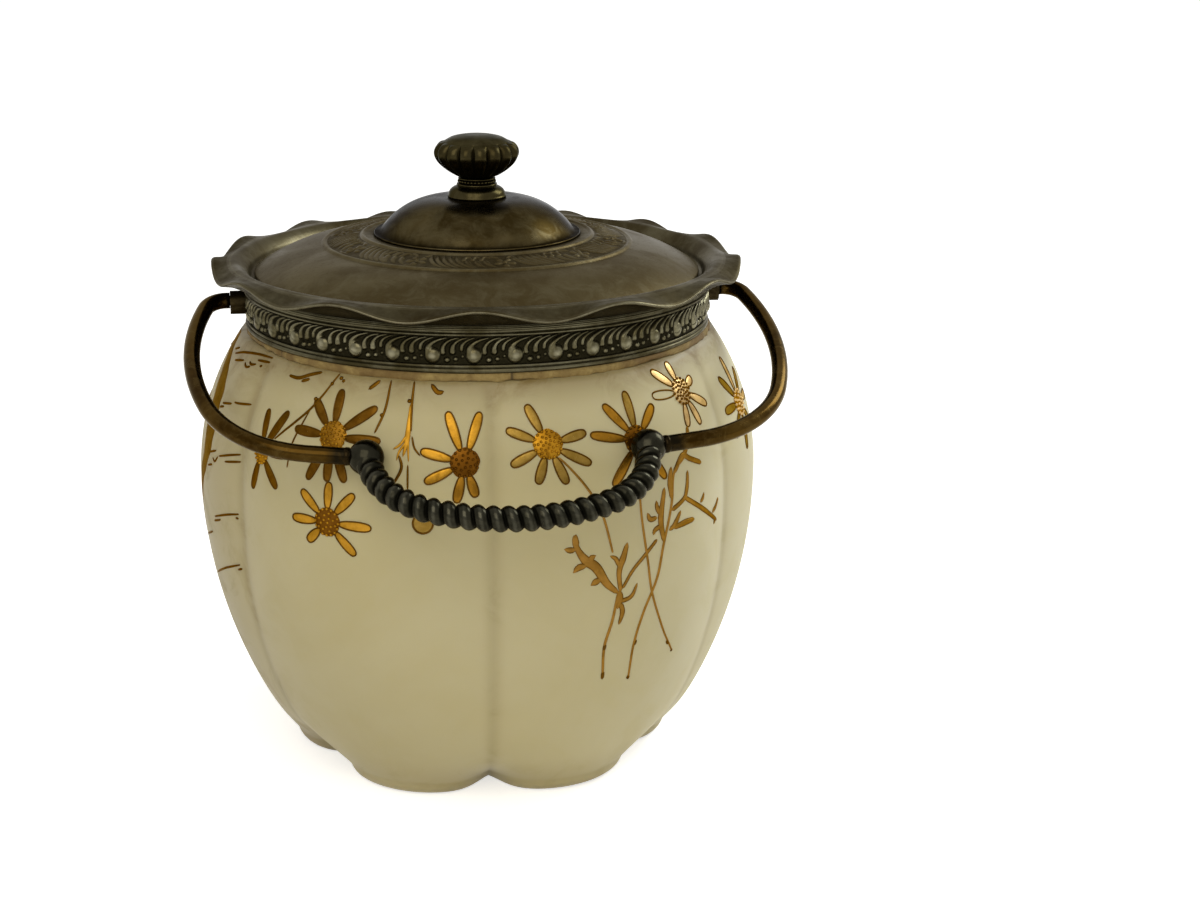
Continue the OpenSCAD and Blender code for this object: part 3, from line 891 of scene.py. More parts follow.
class Tone(Enum):
    """The gilt and bronze tones of the painted decoration."""

    BRIGHT = GiltFinish("gilt_bright", paint(174, 127, 39), paint(128, 90, 20))
    AMBER = GiltFinish("gilt_amber", paint(148, 104, 30), paint(118, 82, 20))
    OLIVE = GiltFinish("gilt_olive", paint(138, 110, 50), paint(110, 84, 28))
    BRONZE = GiltFinish("bronze_brown", paint(100, 68, 18), paint(70, 42, 4))
    PINK = GiltFinish("gilt_pink", paint(204, 172, 116), paint(154, 124, 80))
    LINE = GiltFinish("brown_line", paint(88, 60, 16), paint(66, 42, 8))
    STEM = GiltFinish("gilt_stem", paint(132, 96, 40), paint(100, 70, 22))
    DARK_STEM = GiltFinish("bronze_stem", paint(96, 64, 12), paint(72, 46, 4))
    COPPER = GiltFinish("copper_brown", paint(104, 66, 16), paint(84, 50, 8))
    YELLOW = GiltFinish("gilt_yellow", paint(162, 116, 28), paint(122, 82, 14))
    TRUNK = GiltFinish("gilt_trunk", paint(112, 84, 34), paint(90, 64, 18), smooth=0.5, dull=0.64)

    def material(self) -> Material:
        """Gives the tone's material, built on first use."""
        return bpy.data.materials.get(self.value.name) or self.value.material()


LID_PLATE = PlateFinish(
    "plate_lid", paint(78, 69, 46), paint(62, 52, 30), paint(88, 81, 60), paint(98, 90, 66),
    shift=0.05, hollow=0.4, ridge=0.7, grime_and_shade=0.4, dull=0.44)
# Darker than the lid's plate: a painted dark reflection all over the dome
DOME_PLATE_DARK_REFLECTION = PlateFinish(
    "plate_dome", paint(72, 62, 38), paint(44, 35, 15), paint(80, 72, 50), paint(90, 82, 60),
    shift=0.15, cloud_scale=62.0, grime_and_shade=0.4, smooth=0.18, dull=0.32, edge=(0.46, 0.47, 0.49, 1.0))
# Its brightest colour also paints highlights along the rim's lip and ridge, and its darkened colour
# paints shade under the rim and on its outer slope
RIM_PLATE = PlateFinish(
    "plate_rim", paint(73, 67, 48), paint(49, 41, 22), paint(86, 81, 63), paint(122, 116, 94),
    shift=0.63, hollow=0.28, ridge=0.66, grime_and_shade=0.6)
GALLERY_PLATE = PlateFinish(
    "plate_gallery", paint(118, 113, 90), paint(74, 68, 46), paint(132, 128, 104),
    paint(140, 135, 112), shift=0.27, hollow=0.44, ridge=0.72, grime_and_shade=0.2, smooth=0.18, dull=0.3)
COLLAR_PLATE = PlateFinish(
    "plate_collar", paint(92, 87, 66), paint(58, 52, 32), paint(110, 106, 86),
    paint(138, 132, 110), shift=0.81, hollow=0.34, grime_and_shade=0.4)
PLAIN_PLATE = PlateFinish(
    "plate_plain", paint(70, 65, 46), paint(46, 40, 22), paint(86, 81, 60), paint(86, 81, 60),
    shift=0.7, carved=False)
EAR_PLATE = PlateFinish(
    "plate_ear", paint(62, 53, 32), paint(34, 26, 12), paint(82, 72, 48), paint(82, 72, 48),
    shift=0.36, cloud_scale=120.0, carved=False)
FINIAL_PLATE = PlateFinish(
    "plate_finial", paint(54, 48, 28), paint(36, 30, 14), paint(64, 58, 38), paint(84, 78, 56),
    shift=0.44, cloud_scale=70.0, grime_and_shade=0.4, smooth=0.22, dull=0.36, edge=(0.52, 0.52, 0.50, 1.0))
GRIP_PLATE = PlateFinish(
    "plate_grip", paint(42, 40, 31), paint(25, 24, 17), paint(56, 54, 44), paint(78, 76, 64),
    shift=0.9, cloud_scale=110.0, smooth=0.14, dull=0.27)
BAIL_WIRE = WireFinish(
    "olive_brass_wire", paint(66, 48, 16), paint(42, 27, 5), paint(88, 72, 38), paint(22, 18, 10))
FITTING_BRASS = PlateFinish(
    "brass_fitting", paint(118, 92, 44), paint(84, 62, 26), paint(140, 116, 66),
    paint(150, 126, 76), carved=False)


# ---- The glass bowl and its decoration ----


@dataclass
class MelonBowl:
    """The six-lobed bowl of satin opal glass."""

    belly_r: float = 82.5
    belly_z: float = 85.0
    side_r: float = 140.0
    shoulder_r: float = 72.966
    shoulder_z: float = 127.0
    heel_r: float = 4.0
    lobes: int = 6
    groove_depth: float = 3.7
    groove_spread: float = 45.0
    toe_depth: float = 8.5
    toe_notch: float = 5.5
    toe_h: float = 9.5
    notch_turn: float = 7.0
    wall: float = 4.0
    base: float = 7.0
    turn: float = -3.5
    neck_r: float = 62.5
    neck_z: float = 142.2
    collar_r: float = 66.8
    inner_heel_r: float = 9.0
    columns: int = 432
    pontil_share: float = 0.45
    # Painted shade under the collar: where it starts and the height over which it grows
    collar_shade_z: float = 118.0
    collar_shade_over: float = 9.0
    table_soil_h: float = 14.0
    table_soil_share: float = 0.4
    # Painted shade along the creases of the grooves: its spread and share
    crease_turn: float = 1.7
    crease_share: float = 0.4
    # Painted shade on the jar's left side: its angle, spread and share
    left_shade_turn: float = 282.0
    left_shade_spread: float = 18.0
    worn_share: float = 0.62

    def crest(self, z: Array, inset: float = 0.0) -> Array:
        """Radius over the lobes.

        Args:
            z: Heights.
            inset: How far inside the outer skin.

        Returns:
            The radii.
        """
        swing = np.where(np.asarray(z) < self.belly_z, self.side_r, self.shoulder_r) - inset
        reach = np.sqrt(np.maximum(swing ** 2 - (z - self.belly_z) ** 2, 0))
        return self.belly_r - inset - swing + reach

    def groove(self, z: Array) -> Array:
        """Depth of the grooves at the heights z."""
        spread = 1 + ((z - self.belly_z) / self.groove_spread) ** 2
        return self.groove_depth / spread + self.toe_depth * np.exp(-(z / self.toe_h) ** 2)

    def notch(self, z: Array) -> Array:
        """Depth of the notches between the toes at the heights z."""
        return self.toe_notch * np.exp(-(z / self.toe_h) ** 2)

    def lobed(self, angle: Array, r: Array, depth: Array, notch: Array) -> Array:
        """Radius at angles from a groove.

        Args:
            angle: Angles from a groove.
            r: Radius over the lobes.
            depth: Depth of the grooves.
            notch: Depth of the notches.

        Returns:
            The radii.
        """
        pitch = 360 / self.lobes
        share = 1 - depth / r
        centre = r * (1 - share ** 2) / (2 * (1 - share * math.cos(math.pi / self.lobes)))
        off = angle % pitch - pitch / 2
        side = pitch / 2 - np.abs(off)
        lean = np.radians(off)
        arch = np.sqrt((r - centre) ** 2 - (centre * np.sin(lean)) ** 2)
        return centre * np.cos(lean) + arch - notch * np.exp(-(side / self.notch_turn) ** 2)

    def skin(self, azimuth: Array, z: Array) -> Array:
        """Points of the outer skin.

        Args:
            azimuth: Angles round the jar.
            z: Heights.

        Returns:
            The points.
        """
        azimuth, z = np.broadcast_arrays(np.asarray(azimuth, float), np.asarray(z, float))
        r = self.lobed(azimuth - self.turn, self.crest(z), self.groove(z), self.notch(z))
        return round_points(azimuth, r, z)

    def raised(self, azimuth: Array, z: Array, lift: Array) -> Array:
        """Points above the outer skin.

        Args:
            azimuth: Angles round the jar.
            z: Heights.
            lift: Distances above the skin.

        Returns:
            The points.
        """
        here = self.skin(azimuth, z)
        across = self.skin(azimuth + 0.3, z) - self.skin(azimuth - 0.3, z)
        up = self.skin(azimuth, z + 0.4) - self.skin(azimuth, z - 0.4)
        normal = np.cross(across, up)
        normal /= np.linalg.norm(normal, axis=-1, keepdims=True)
        return here + normal * np.asarray(lift)[..., None]

    def beside(self, azimuth: float, z: float, x: Array, y: Array) -> tuple[Array, Array]:
        """Angles and heights of places on the skin at short distances from one point.

        Args:
            azimuth: The point's angle.
            z: The point's height.
            x: Distances along the skin towards larger angles.
            y: Distances up the skin.

        Returns:
            The angles and the heights.
        """
        low, high = self.skin(azimuth, z - 1), self.skin(azimuth, z + 1)
        rise = 2 / float(np.linalg.norm(high - low))
        here = self.skin(azimuth, z)
        left, right = self.skin(azimuth - 1, z), self.skin(azimuth + 1, z)
        turn = 2 / float(np.linalg.norm(right - left))
        low_r, here_r, high_r = (float(np.hypot(*point[:2])) for point in (low, here, high))
        narrowing = (high_r - low_r) / 2 * rise / here_r
        x, y = np.asarray(x), np.asarray(y)
        return azimuth + x * turn / (1 + narrowing * y), z + y * rise

    def ring(self, r: float, z: float, depth: float, notch: float = 0.0) -> Array:
        """One closed ring of the bowl.

        Args:
            r: Radius over the lobes.
            z: Height.
            depth: Depth of the grooves.
            notch: Depth of the notches.

        Returns:
            The ring's points.
        """
        angle = turns(self.columns)
        return round_points(angle + self.turn, self.lobed(angle, r, depth, notch), z)

    def plain(self, r: float, z: float) -> Array:
        """One round ring of radius r at the height z."""
        return round_points(turns(self.columns) + self.turn, r, z)

    def shade_and_soil_mask(self, z: Array) -> Array:
        """How dark the skin is drawn: painted shade under the collar, in the creases and on the
        left side, and soil near the table.

        Args:
            z: Heights of the points, rows by columns.

        Returns:
            A value for each point, 0 to 1.
        """
        angle, pitch = turns(self.columns), 360 / self.lobes
        # Painted shade under the collar, and soil near the table
        collar_shade_and_table_soil = np.clip((z - self.collar_shade_z) / self.collar_shade_over, 0, 1) ** 1.5
        collar_shade_and_table_soil = collar_shade_and_table_soil + self.table_soil_share * np.clip(1 - z / self.table_soil_h, 0, 1)
        # Painted shade along the creases
        off = angle % pitch
        crease = np.exp(-(np.minimum(off, pitch - off) / self.crease_turn) ** 2)
        # Painted shade on the left side
        left_shade = np.exp(-((angle - self.left_shade_turn) / self.left_shade_spread) ** 2)
        return np.clip(collar_shade_and_table_soil + self.crease_share * crease + self.worn_share * left_shade, 0, 1)

    def build(self) -> Object:
        """Builds and dresses the bowl.

        Returns:
            The bowl.
        """
        pontil = self.pontil_share * float(self.crest(self.heel_r))
        foot = float(self.crest(self.heel_r)) - self.heel_r
        rows = [self.plain(POLE_R, 0), self.plain(pontil, 0)]
        for a in np.radians(np.linspace(0, 90, 9)[:-1]):
            z = self.heel_r * (1 - math.cos(a))
            r = foot + self.heel_r * math.sin(a)
            rows.append(self.ring(r, z, self.groove(z), self.notch(z)))
        toes, lobes = np.linspace(self.heel_r, 24, 22)[:-1], np.linspace(24, self.shoulder_z, 84)
        for z in np.concatenate([toes, lobes]):
            rows.append(self.ring(float(self.crest(z)), z, self.groove(z), self.notch(z)))
        mouth_r = self.neck_r - self.wall
        neck = [(self.collar_r - 1.4, self.shoulder_z + 0.8),
                (self.neck_r + 0.8, self.shoulder_z + 1.4),
                (self.neck_r, self.shoulder_z + 2.2), (self.neck_r, self.neck_z - 1)]
        lip = arc((self.neck_r - 1, self.neck_z - 1), 1, 10, 90, 5).tolist()
        lip += arc((mouth_r + 1, self.neck_z - 1), 1, 90, 180, 5).tolist()
        rows += [self.plain(r, z) for r, z in neck + lip]
        rows.append(self.plain(mouth_r, self.shoulder_z + 2))
        low = self.base + self.inner_heel_r
        for z in np.linspace(self.shoulder_z - 2, low, 40):
            rows.append(self.ring(float(self.crest(z, self.wall)), z, self.groove(z)))
        wall_r = float(self.crest(low, self.wall))
        for a in np.radians(np.linspace(0, 90, 8)[1:]):
            z = low - self.inner_heel_r * math.sin(a)
            depth = self.groove(low) + self.groove_depth * math.sin(a)
            rows.append(self.ring(wall_r - self.inner_heel_r * (1 - math.cos(a)), z, depth))
        rows += [self.plain(pontil, self.base), self.plain(POLE_R, self.base)]
        points = np.stack(rows)
        # The mask of painted shade and soil
        bowl = Piece("melon_bowl").add(Lattice(points), handled=self.shade_and_soil_mask(points[..., 2]))
        return dress(bowl, OpalGlass(), "jar", "opal_glass", "glass_bowl")


@dataclass
class Brush:
    """Lays raised strokes of paint on the bowl."""

    bowl: MelonBowl
    step: float = 0.45
    across: tuple[float, ...] = (-0.5, -0.44, -0.28, 0.0, 0.28, 0.44, 0.5)
    crown: tuple[float, ...] = (-0.06, 0.5, 0.88, 1.0, 0.88, 0.5, -0.06)

    def stroke(self, route: Route, width: float, height: float = 0.22, taper: float = 0.5,
               closed: bool = False, swell: Sequence[float] = ()) -> Lattice:
        """A rounded stroke along a route on the skin.

        Args:
            route: Angles and heights of the points that it passes.
            width: Width of the stroke.
            height: Height of its crown.
            taper: Share of the width that is left at its ends.
            closed: Whether it is a loop.
            swell: Widths at equal steps along it, as shares of width, in place of the taper.

        Returns:
            The lattice.
        """
        line = spline(route, 10, closed)
        radius = np.hypot(*np.moveaxis(self.bowl.skin(line[:, 0], line[:, 1]), -1, 0)[:2])
        flat = np.stack([np.radians(line[:, 0]) * radius.mean(), line[:, 1]], 1)
        steps = np.linalg.norm(np.diff(flat, axis=0, append=flat[:1]), axis=1)
        length = np.concatenate([[0], np.cumsum(steps)])
        total = length[-1] if closed else length[-2]
        count = max(6, int(total / self.step))
        at = np.linspace(0, total, count, endpoint=not closed)
        source = np.vstack([line, line[:1]]) if closed else line
        marks = length if closed else length[:-1]
        a, z = (np.interp(at, marks, source[:, k]) for k in range(2))
        x = np.radians(a) * radius.mean()
        if closed:
            dx, dz = np.roll(x, -1) - np.roll(x, 1), np.roll(z, -1) - np.roll(z, 1)
        else:
            dx, dz = np.gradient(x), np.gradient(z)
        size = np.maximum(np.hypot(dx, dz), 1e-9)
        share = at / total
        if len(swell):
            wide = np.interp(share, np.linspace(0, 1, len(swell)), swell)
        elif closed:
            wide = np.ones(count)
        else:
            wide = taper + (1 - taper) * np.sqrt(np.clip(4 * share * (1 - share), 0, 1))
        if not closed:
            wide = wide * np.sqrt(np.clip(np.minimum(at, total - at) / (0.5 * width) + 0.02, 0, 1))
        across, crown = np.array(self.across), np.array(self.crown)
        lift = np.where(crown < 0, crown, crown * height * np.clip(wide[:, None] * 1.6, 0.1, 1.0))
        side = across[None] * (wide * width)[:, None]
        turn = np.degrees(-dz / size)[:, None] * side / radius.mean()
        points = self.bowl.raised(a[:, None] + turn, z[:, None] + (dx / size)[:, None] * side, lift)
        return Lattice(points, wrap_rows=closed, wrap_columns=False)

    def strokes(self, name: str, marks: Sequence[tuple], height: float = 0.22, taper: float = 0.5,
                wider: float = 0.0) -> Piece:
        """A piece made of several strokes.

        Args:
            name: The piece's name.
            marks: Each stroke's route, its width and, where it has one, its swell.
            height: Height of the strokes' crowns.
            taper: Share of the width that is left at the ends of a stroke without a swell.
            wider: What is added to each width.

        Returns:
            The piece.
        """
        piece = Piece(name)
        for route, width, *swell in marks:
            piece.add(self.stroke(route, width + wider, height, taper, swell=(swell or [()])[0]))
        return piece

    def bead(self, azimuth: float, z: float, radius: float, height: float) -> Lattice:
        """A small dome of paint.

        Args:
            azimuth: Angle round the jar.
            z: Height.
            radius: Radius of the dome.
            height: Height of the dome.

        Returns:
            The lattice.
        """
        fall = np.radians(np.linspace(2, 95, 6))
        a, h = self.bowl.beside(azimuth, z, *rings(radius * np.sin(fall), 10))
        lift = np.broadcast_to(height * np.cos(fall)[:, None], a.shape)
        return Lattice(self.bowl.raised(a, h, lift))


@dataclass
class Daisy:
    """A painted daisy: its place, the angles and lengths of its petals, and its tones."""

    name: str
    azimuth: float
    height: float
    petals: tuple[tuple[float, float], ...]
    tone: Tone
    seeds: Tone
    ground: Tone
    outline: Tone = Tone.LINE
    eye_r: float = 4.0
    petal_w: float = 2.5
    gilded: tuple[int, ...] = ()
    gilded_tone: Tone = Tone.BRIGHT
    bare: tuple[int, ...] = ()
    seed_count: int = 30
    edge_seeds: int = 16
    seed_r: float = 0.46
    seed_h: float = 0.42
    eye_h: float = 0.5
    line_w: float = 0.44
    line_h: float = 0.2

    def petal(self, brush: Brush, angle: float, length: float) -> tuple[Lattice, Lattice]:
        """The low cushion of a petal and the line round it.

        Args:
            brush: The brush.
            angle: Direction of the petal, from the right.
            length: Distance from the daisy's middle to the petal's tip.

        Returns:
            The cushion and the line.
        """
        start = 0.86 * self.eye_r
        half, turn = (length - start) / 2, np.radians(turns(48))
        along = start + half + half * np.cos(turn)
        blunt = np.sign(np.sin(turn)) * np.abs(np.sin(turn)) ** 0.72
        wide = self.petal_w / 2 * blunt * (1 + 0.15 * np.cos(turn))
        lean = math.radians(angle)
        x = along * math.cos(lean) - wide * math.sin(lean)
        y = along * math.sin(lean) + wide * math.cos(lean)
        middle = (start + half) * np.array([math.cos(lean), math.sin(lean)])
        share = np.array([0.02, 0.4, 0.75, 1.0])[:, None]
        x, y = middle[0] + share * (x - middle[0]), middle[1] + share * (y - middle[1])
        a, z = brush.bowl.beside(self.azimuth, self.height, x, y)
        lift = np.broadcast_to(np.array([0.13, 0.12, 0.1, -0.02])[:, None], a.shape)
        line = brush.stroke(np.stack([a[-1], z[-1]], 1)[::3], self.line_w, self.line_h, closed=True)
        return Lattice(brush.bowl.raised(a, z, lift)), line

    def eye(self, brush: Brush) -> Lattice:
        """The low domed ground of the middle.

        Args:
            brush: The brush.

        Returns:
            The lattice.
        """
        share = np.linspace(0.02, 1, 7)
        turn = np.radians(turns(40))
        wobble = 1 + 0.03 * np.sin(5 * turn) + 0.02 * np.sin(9 * turn + 1)
        x, y = rings(self.eye_r * share, 40)
        a, z = brush.bowl.beside(self.azimuth, self.height, x * wobble, y * wobble)
        lift = self.eye_h * (1 - share ** 2) ** 0.6 - 0.03 * share
        return Lattice(brush.bowl.raised(a, z, np.broadcast_to(lift[:, None], a.shape)))

    def seed_beads(self, brush: Brush) -> list[Lattice]:
        """The beads on the middle, in a sunflower pattern with a ring at the edge.

        Args:
            brush: The brush.

        Returns:
            One lattice for each bead.
        """
        places = [(0.88 * self.eye_r, k * 360 / self.edge_seeds) for k in range(self.edge_seeds)]
        inner = self.seed_count - self.edge_seeds
        places += [(0.72 * self.eye_r * math.sqrt((k + 0.4) / inner), k * GOLDEN_TURN)
                   for k in range(inner)]
        beads = []
        for r, turn in places:
            lean = math.radians(turn)
            a, z = brush.bowl.beside(self.azimuth, self.height, r * math.cos(lean),
                                     r * math.sin(lean))
            ground = self.eye_h * max(0.0, 1 - (r / self.eye_r) ** 2) ** 0.6
            beads.append(brush.bead(float(a), float(z), self.seed_r, ground + self.seed_h))
        return beads

    def build(self, brush: Brush) -> None:
        """Builds and dresses the daisy's petals, lines, middle and beads.

        Args:
            brush: The brush.
        """
        parts = ("petals", "gilt_petals", "lines", "seeds", "eye")
        plain, gilded, lines, seeds, eye = (Piece(f"{self.name}_{part}") for part in parts)
        for k, (angle, length) in enumerate(self.petals):
            cushion, line = self.petal(brush, angle, length)
            if k not in self.bare:
                (gilded if k in self.gilded else plain).add(cushion)
            lines.add(line)
        for bead in self.seed_beads(brush):
            seeds.add(bead)
        eye.add(self.eye(brush))
        for piece, tone in ((plain, self.tone), (gilded, self.gilded_tone), (lines, self.outline),
                            (seeds, self.seeds), (eye, self.ground)):
            if piece.lattices:
                dress(piece, tone, "jar", "opal_glass")


# The eight daisies, from the left round to the right
DAISIES = (
    Daisy("daisy_left", -55.7, 103.4, ((95, 11.6), (57, 15), (8, 13), (253, 11.8), (317, 12.3)),
          Tone.BRONZE, Tone.YELLOW, Tone.AMBER, eye_r=3.6, seed_count=26),
    Daisy("daisy_large", -36.5, 112.1,
          ((92, 12.4), (133, 12), (180, 13.4), (38, 14.4), (0, 14.2), (243, 14.6), (270, 12.6),
           (295, 13.4)),
          Tone.BRONZE, Tone.YELLOW, Tone.AMBER, eye_r=4.3, seed_count=40),
    Daisy("daisy_low", -35.9, 89.5,
          ((90, 10.8), (47, 11.6), (359, 13.2), (316, 11.9), (224, 9.2), (183, 12.1), (141, 11.7)),
          Tone.BRIGHT, Tone.YELLOW, Tone.COPPER, eye_r=4.1),
    Daisy("daisy_middle", -8.9, 107.3,
          ((110, 14.1), (73, 13.6), (165, 12.1), (206, 11.8), (258, 11), (288, 9.8)),
          Tone.BRIGHT, Tone.COPPER, Tone.COPPER, eye_r=4.1, gilded=(4, 5), gilded_tone=Tone.AMBER),
    Daisy("daisy_olive", 7.8, 111.4,
          ((114, 11.6), (159, 11.6), (208, 11.7), (252, 11.2), (292, 11.9), (332, 13), (13, 11)),
          Tone.OLIVE, Tone.YELLOW, Tone.YELLOW, eye_r=4.2, seed_count=38),
    Daisy("daisy_amber", 27.1, 109.9,
          ((167, 14.2), (127, 13.3), (91, 13.2), (46, 11.7), (230, 15), (343, 13.4), (304, 14.8),
           (262, 14.4)),
          Tone.AMBER, Tone.BRONZE, Tone.COPPER, eye_r=4.2, gilded=(2,), gilded_tone=Tone.OLIVE),
    Daisy("daisy_right", 43.9, 118.7,
          ((140, 12), (100, 9), (175, 12.6), (17, 8), (331, 13.7), (258, 10.4), (294, 12)),
          Tone.PINK, Tone.BRONZE, Tone.PINK, eye_r=4.2, bare=(2,), seed_count=44),
    Daisy("daisy_far", 70.1, 107.9,
          ((95, 14), (135, 13.5), (45, 12), (0, 12.5), (180, 12.5), (225, 12.5), (268, 14.5),
           (315, 12.5)),
          Tone.OLIVE, Tone.PINK, Tone.AMBER, eye_r=4.2, gilded=(0, 3), gilded_tone=Tone.PINK),
)

# The dark stems and twigs that hang from the collar on the left: route and width
HANGING_STEMS = (
    (((-38.7, 127.3), (-43.2, 118.3), (-52.1, 107.8)), 0.75),
    (((-43.6, 117.6), (-45.0, 113.0), (-46.4, 108.2), (-46.8, 101.5)), 0.6),
    (((-25.7, 127.1), (-25.9, 119.9), (-27.4, 114.0)), 0.75),
    (((-27.3, 112.0), (-26.6, 106.0), (-25.6, 99.5)), 0.9),
    (((-20.4, 127.2), (-20.3, 121.9), (-19.9, 114.9)), 0.8),
    (((-53.7, 124.1), (-50.2, 124.2), (-47.0, 125.6), (-43.7, 126.8)), 1.0),
    (((-49.0, 123.6), (-46.5, 124.6)), 0.9),
    (((-37.6, 125.4), (-36.8, 125.9)), 0.9),
    (((-30.6, 124.4), (-28.2, 126.8)), 1.1),
    (((-16.6, 126.6), (-14.8, 124.6), (-13.6, 124.9)), 1.3),
    (((-21.9, 109.1), (-21.2, 106.0), (-22.6, 101.6)), 0.9),
    (((-20.0, 106.8), (-19.8, 100.2)), 0.6),
    (((-19.6, 114.0), (-18.9, 111.0), (-17.6, 109.0)), 0.6),
)

# Knots on them: angle and height
HANGING_KNOTS = ((-39.9, 124.6), (-43.0, 120.3), (-26.4, 118.6), (-20.9, 122.4), (-38.0, 126.2))

# The bright forked root at the foot of a hanging stem: route, width and swell
FORKED_ROOT = (
    (((-20.4, 122.0), (-20.4, 117.0), (-20.6, 112.0), (-21.1, 108.6)), 1.7, (0.5, 0.8, 1.0, 0.3)),
    (((-20.7, 114.0), (-21.9, 111.6), (-23.2, 110.4)), 0.9, (0.8, 0.9, 0.5)),
    (((-20.6, 112.4), (-21.9, 109.9), (-22.3, 107.6)), 0.9, (0.9, 0.8, 0.4)),
    (((-20.3, 113.4), (-20.1, 110.0), (-19.9, 107.4)), 0.8, (0.9, 0.8, 0.4)),
)

# The three long crossing stems and the sprig's own stem on the right: route and width
LONG_STEMS = (
    (((9.7, 108.0), (11.4, 105.6), (14.3, 100.6), (17.2, 93.6), (19.8, 80.6)), 0.75),
    (((25.9, 103.0), (25.9, 97.7), (26.2, 88.5), (27.9, 75.6), (29.6, 66.0), (34.4, 52.9),
      (39.1, 44.4)), 0.75),
    (((42.4, 108.0), (39.2, 102.8), (35.4, 99.6), (33.8, 91.1), (31.6, 79.7), (30.5, 70.7),
      (27.8, 60.5), (26.6, 50.8), (27.1, 39.4)), 0.95),
    (((21.3, 68.5), (20.6, 60.4), (19.5, 52.3), (20.3, 41.5)), 0.95),
)

# The dark knots and worn ends of the long stems
STEM_KNOTS = (
    ((36.2, 49.0), (37.2, 47.2)), ((38.7, 44.9), (39.2, 44.2)), ((27.0, 52.6), (26.8, 50.6)),
    ((26.9, 41.0), (27.1, 39.4)), ((19.6, 53.4), (19.5, 51.0)), ((20.1, 44.4), (20.3, 41.4)))

# The lobed fern-like sprigs on the right: route, width and swell
FERN_SPRIGS = (
    (((21.5, 68.3), (18.8, 71.9), (16.2, 77.4), (14.2, 79.6), (12.4, 83.6), (11.9, 87.0)), 2.6,
     (0.45, 0.75, 0.95, 1.0, 0.6, 0.55)),
    (((12.4, 83.2), (11.4, 82.8), (10.0, 83.3)), 1.5, (0.8, 1.0, 0.6)),
    (((12.6, 83.6), (12.2, 85.4), (12.3, 87.2)), 1.5, (0.9, 1.0, 0.6)),
    (((15.2, 78.6), (15.4, 80.0), (16.3, 80.6)), 1.6, (0.9, 1.0, 0.6)),
    (((14.5, 77.9), (13.0, 77.7), (11.8, 76.2)), 1.7, (0.8, 1.0, 0.5)),
    (((17.6, 73.2), (16.6, 73.0), (15.4, 72.0)), 1.8, (0.9, 1.0, 0.6)),
    (((21.9, 68.7), (21.3, 75.0), (22.2, 79.4), (22.9, 83.0)), 1.9, (0.6, 0.7, 1.0, 0.55)),
    (((21.2, 76.4), (20.4, 78.9), (19.2, 79.9)), 1.2, (0.8, 0.9, 0.5)),
    (((22.0, 65.8), (24.3, 66.6), (25.6, 70.4)), 1.2, (1.0, 0.9, 0.5)),
    (((22.0, 65.4), (22.7, 62.6), (22.2, 58.6)), 1.3, (0.9, 1.0, 0.6)),
    (((21.6, 69.4), (21.8, 67.0), (21.5, 63.6)), 2.2, (0.5, 1.0, 0.5)),
    (((22.2, 69.6), (24.4, 74.6), (26.8, 77.9), (29.9, 82.0)), 0.9, (0.8, 0.9, 1.0, 0.9)),
    (((31.8, 80.6), (30.8, 87.3), (32.1, 96.0)), 1.9, (0.7, 1.0, 0.6)),
    (((30.9, 85.6), (29.3, 84.8), (28.9, 83.4)), 1.3, (0.9, 1.0, 0.6)),
    (((30.7, 88.7), (29.9, 91.2), (29.8, 93.0)), 1.3, (0.8, 1.0, 0.6)),
    (((29.9, 88.2), (28.2, 88.2), (27.5, 90.2)), 1.3, (0.8, 1.0, 0.6)),
    (((33.0, 83.6), (34.4, 84.6), (36.4, 88.2)), 1.5, (0.7, 1.0, 0.6)),
    (((34.3, 83.9), (37.8, 84.3), (40.9, 84.2)), 1.7, (0.7, 1.0, 0.7)),
    (((33.8, 89.1), (37.6, 91.4), (38.6, 94.0), (39.3, 98.6)), 1.3, (0.9, 0.9, 1.0, 0.7)),
    (((37.8, 91.4), (43.0, 86.9), (51.0, 79.8)), 1.2, (0.9, 1.0, 0.8)),
    (((43.0, 88.2), (44.0, 89.0), (44.6, 90.6)), 1.1, (0.9, 1.0, 0.6)),
    (((48.4, 83.2), (50.2, 84.2), (51.6, 86.4)), 1.3, (0.9, 1.0, 0.6)),
    (((50.4, 81.0), (49.4, 79.2)), 1.3, (0.8, 0.9)),
    (((35.0, 99.0), (38.6, 103.0), (40.4, 101.6), (44.6, 99.0)), 1.4, (0.8, 1.0, 0.9, 0.8)),
    (((34.0, 92.0), (33.8, 97.0), (34.6, 101.0)), 1.9, (0.7, 1.0, 0.6)),
    (((42.0, 110.0), (41.0, 106.4), (38.8, 103.2)), 1.7, (0.7, 1.0, 0.7)),
)

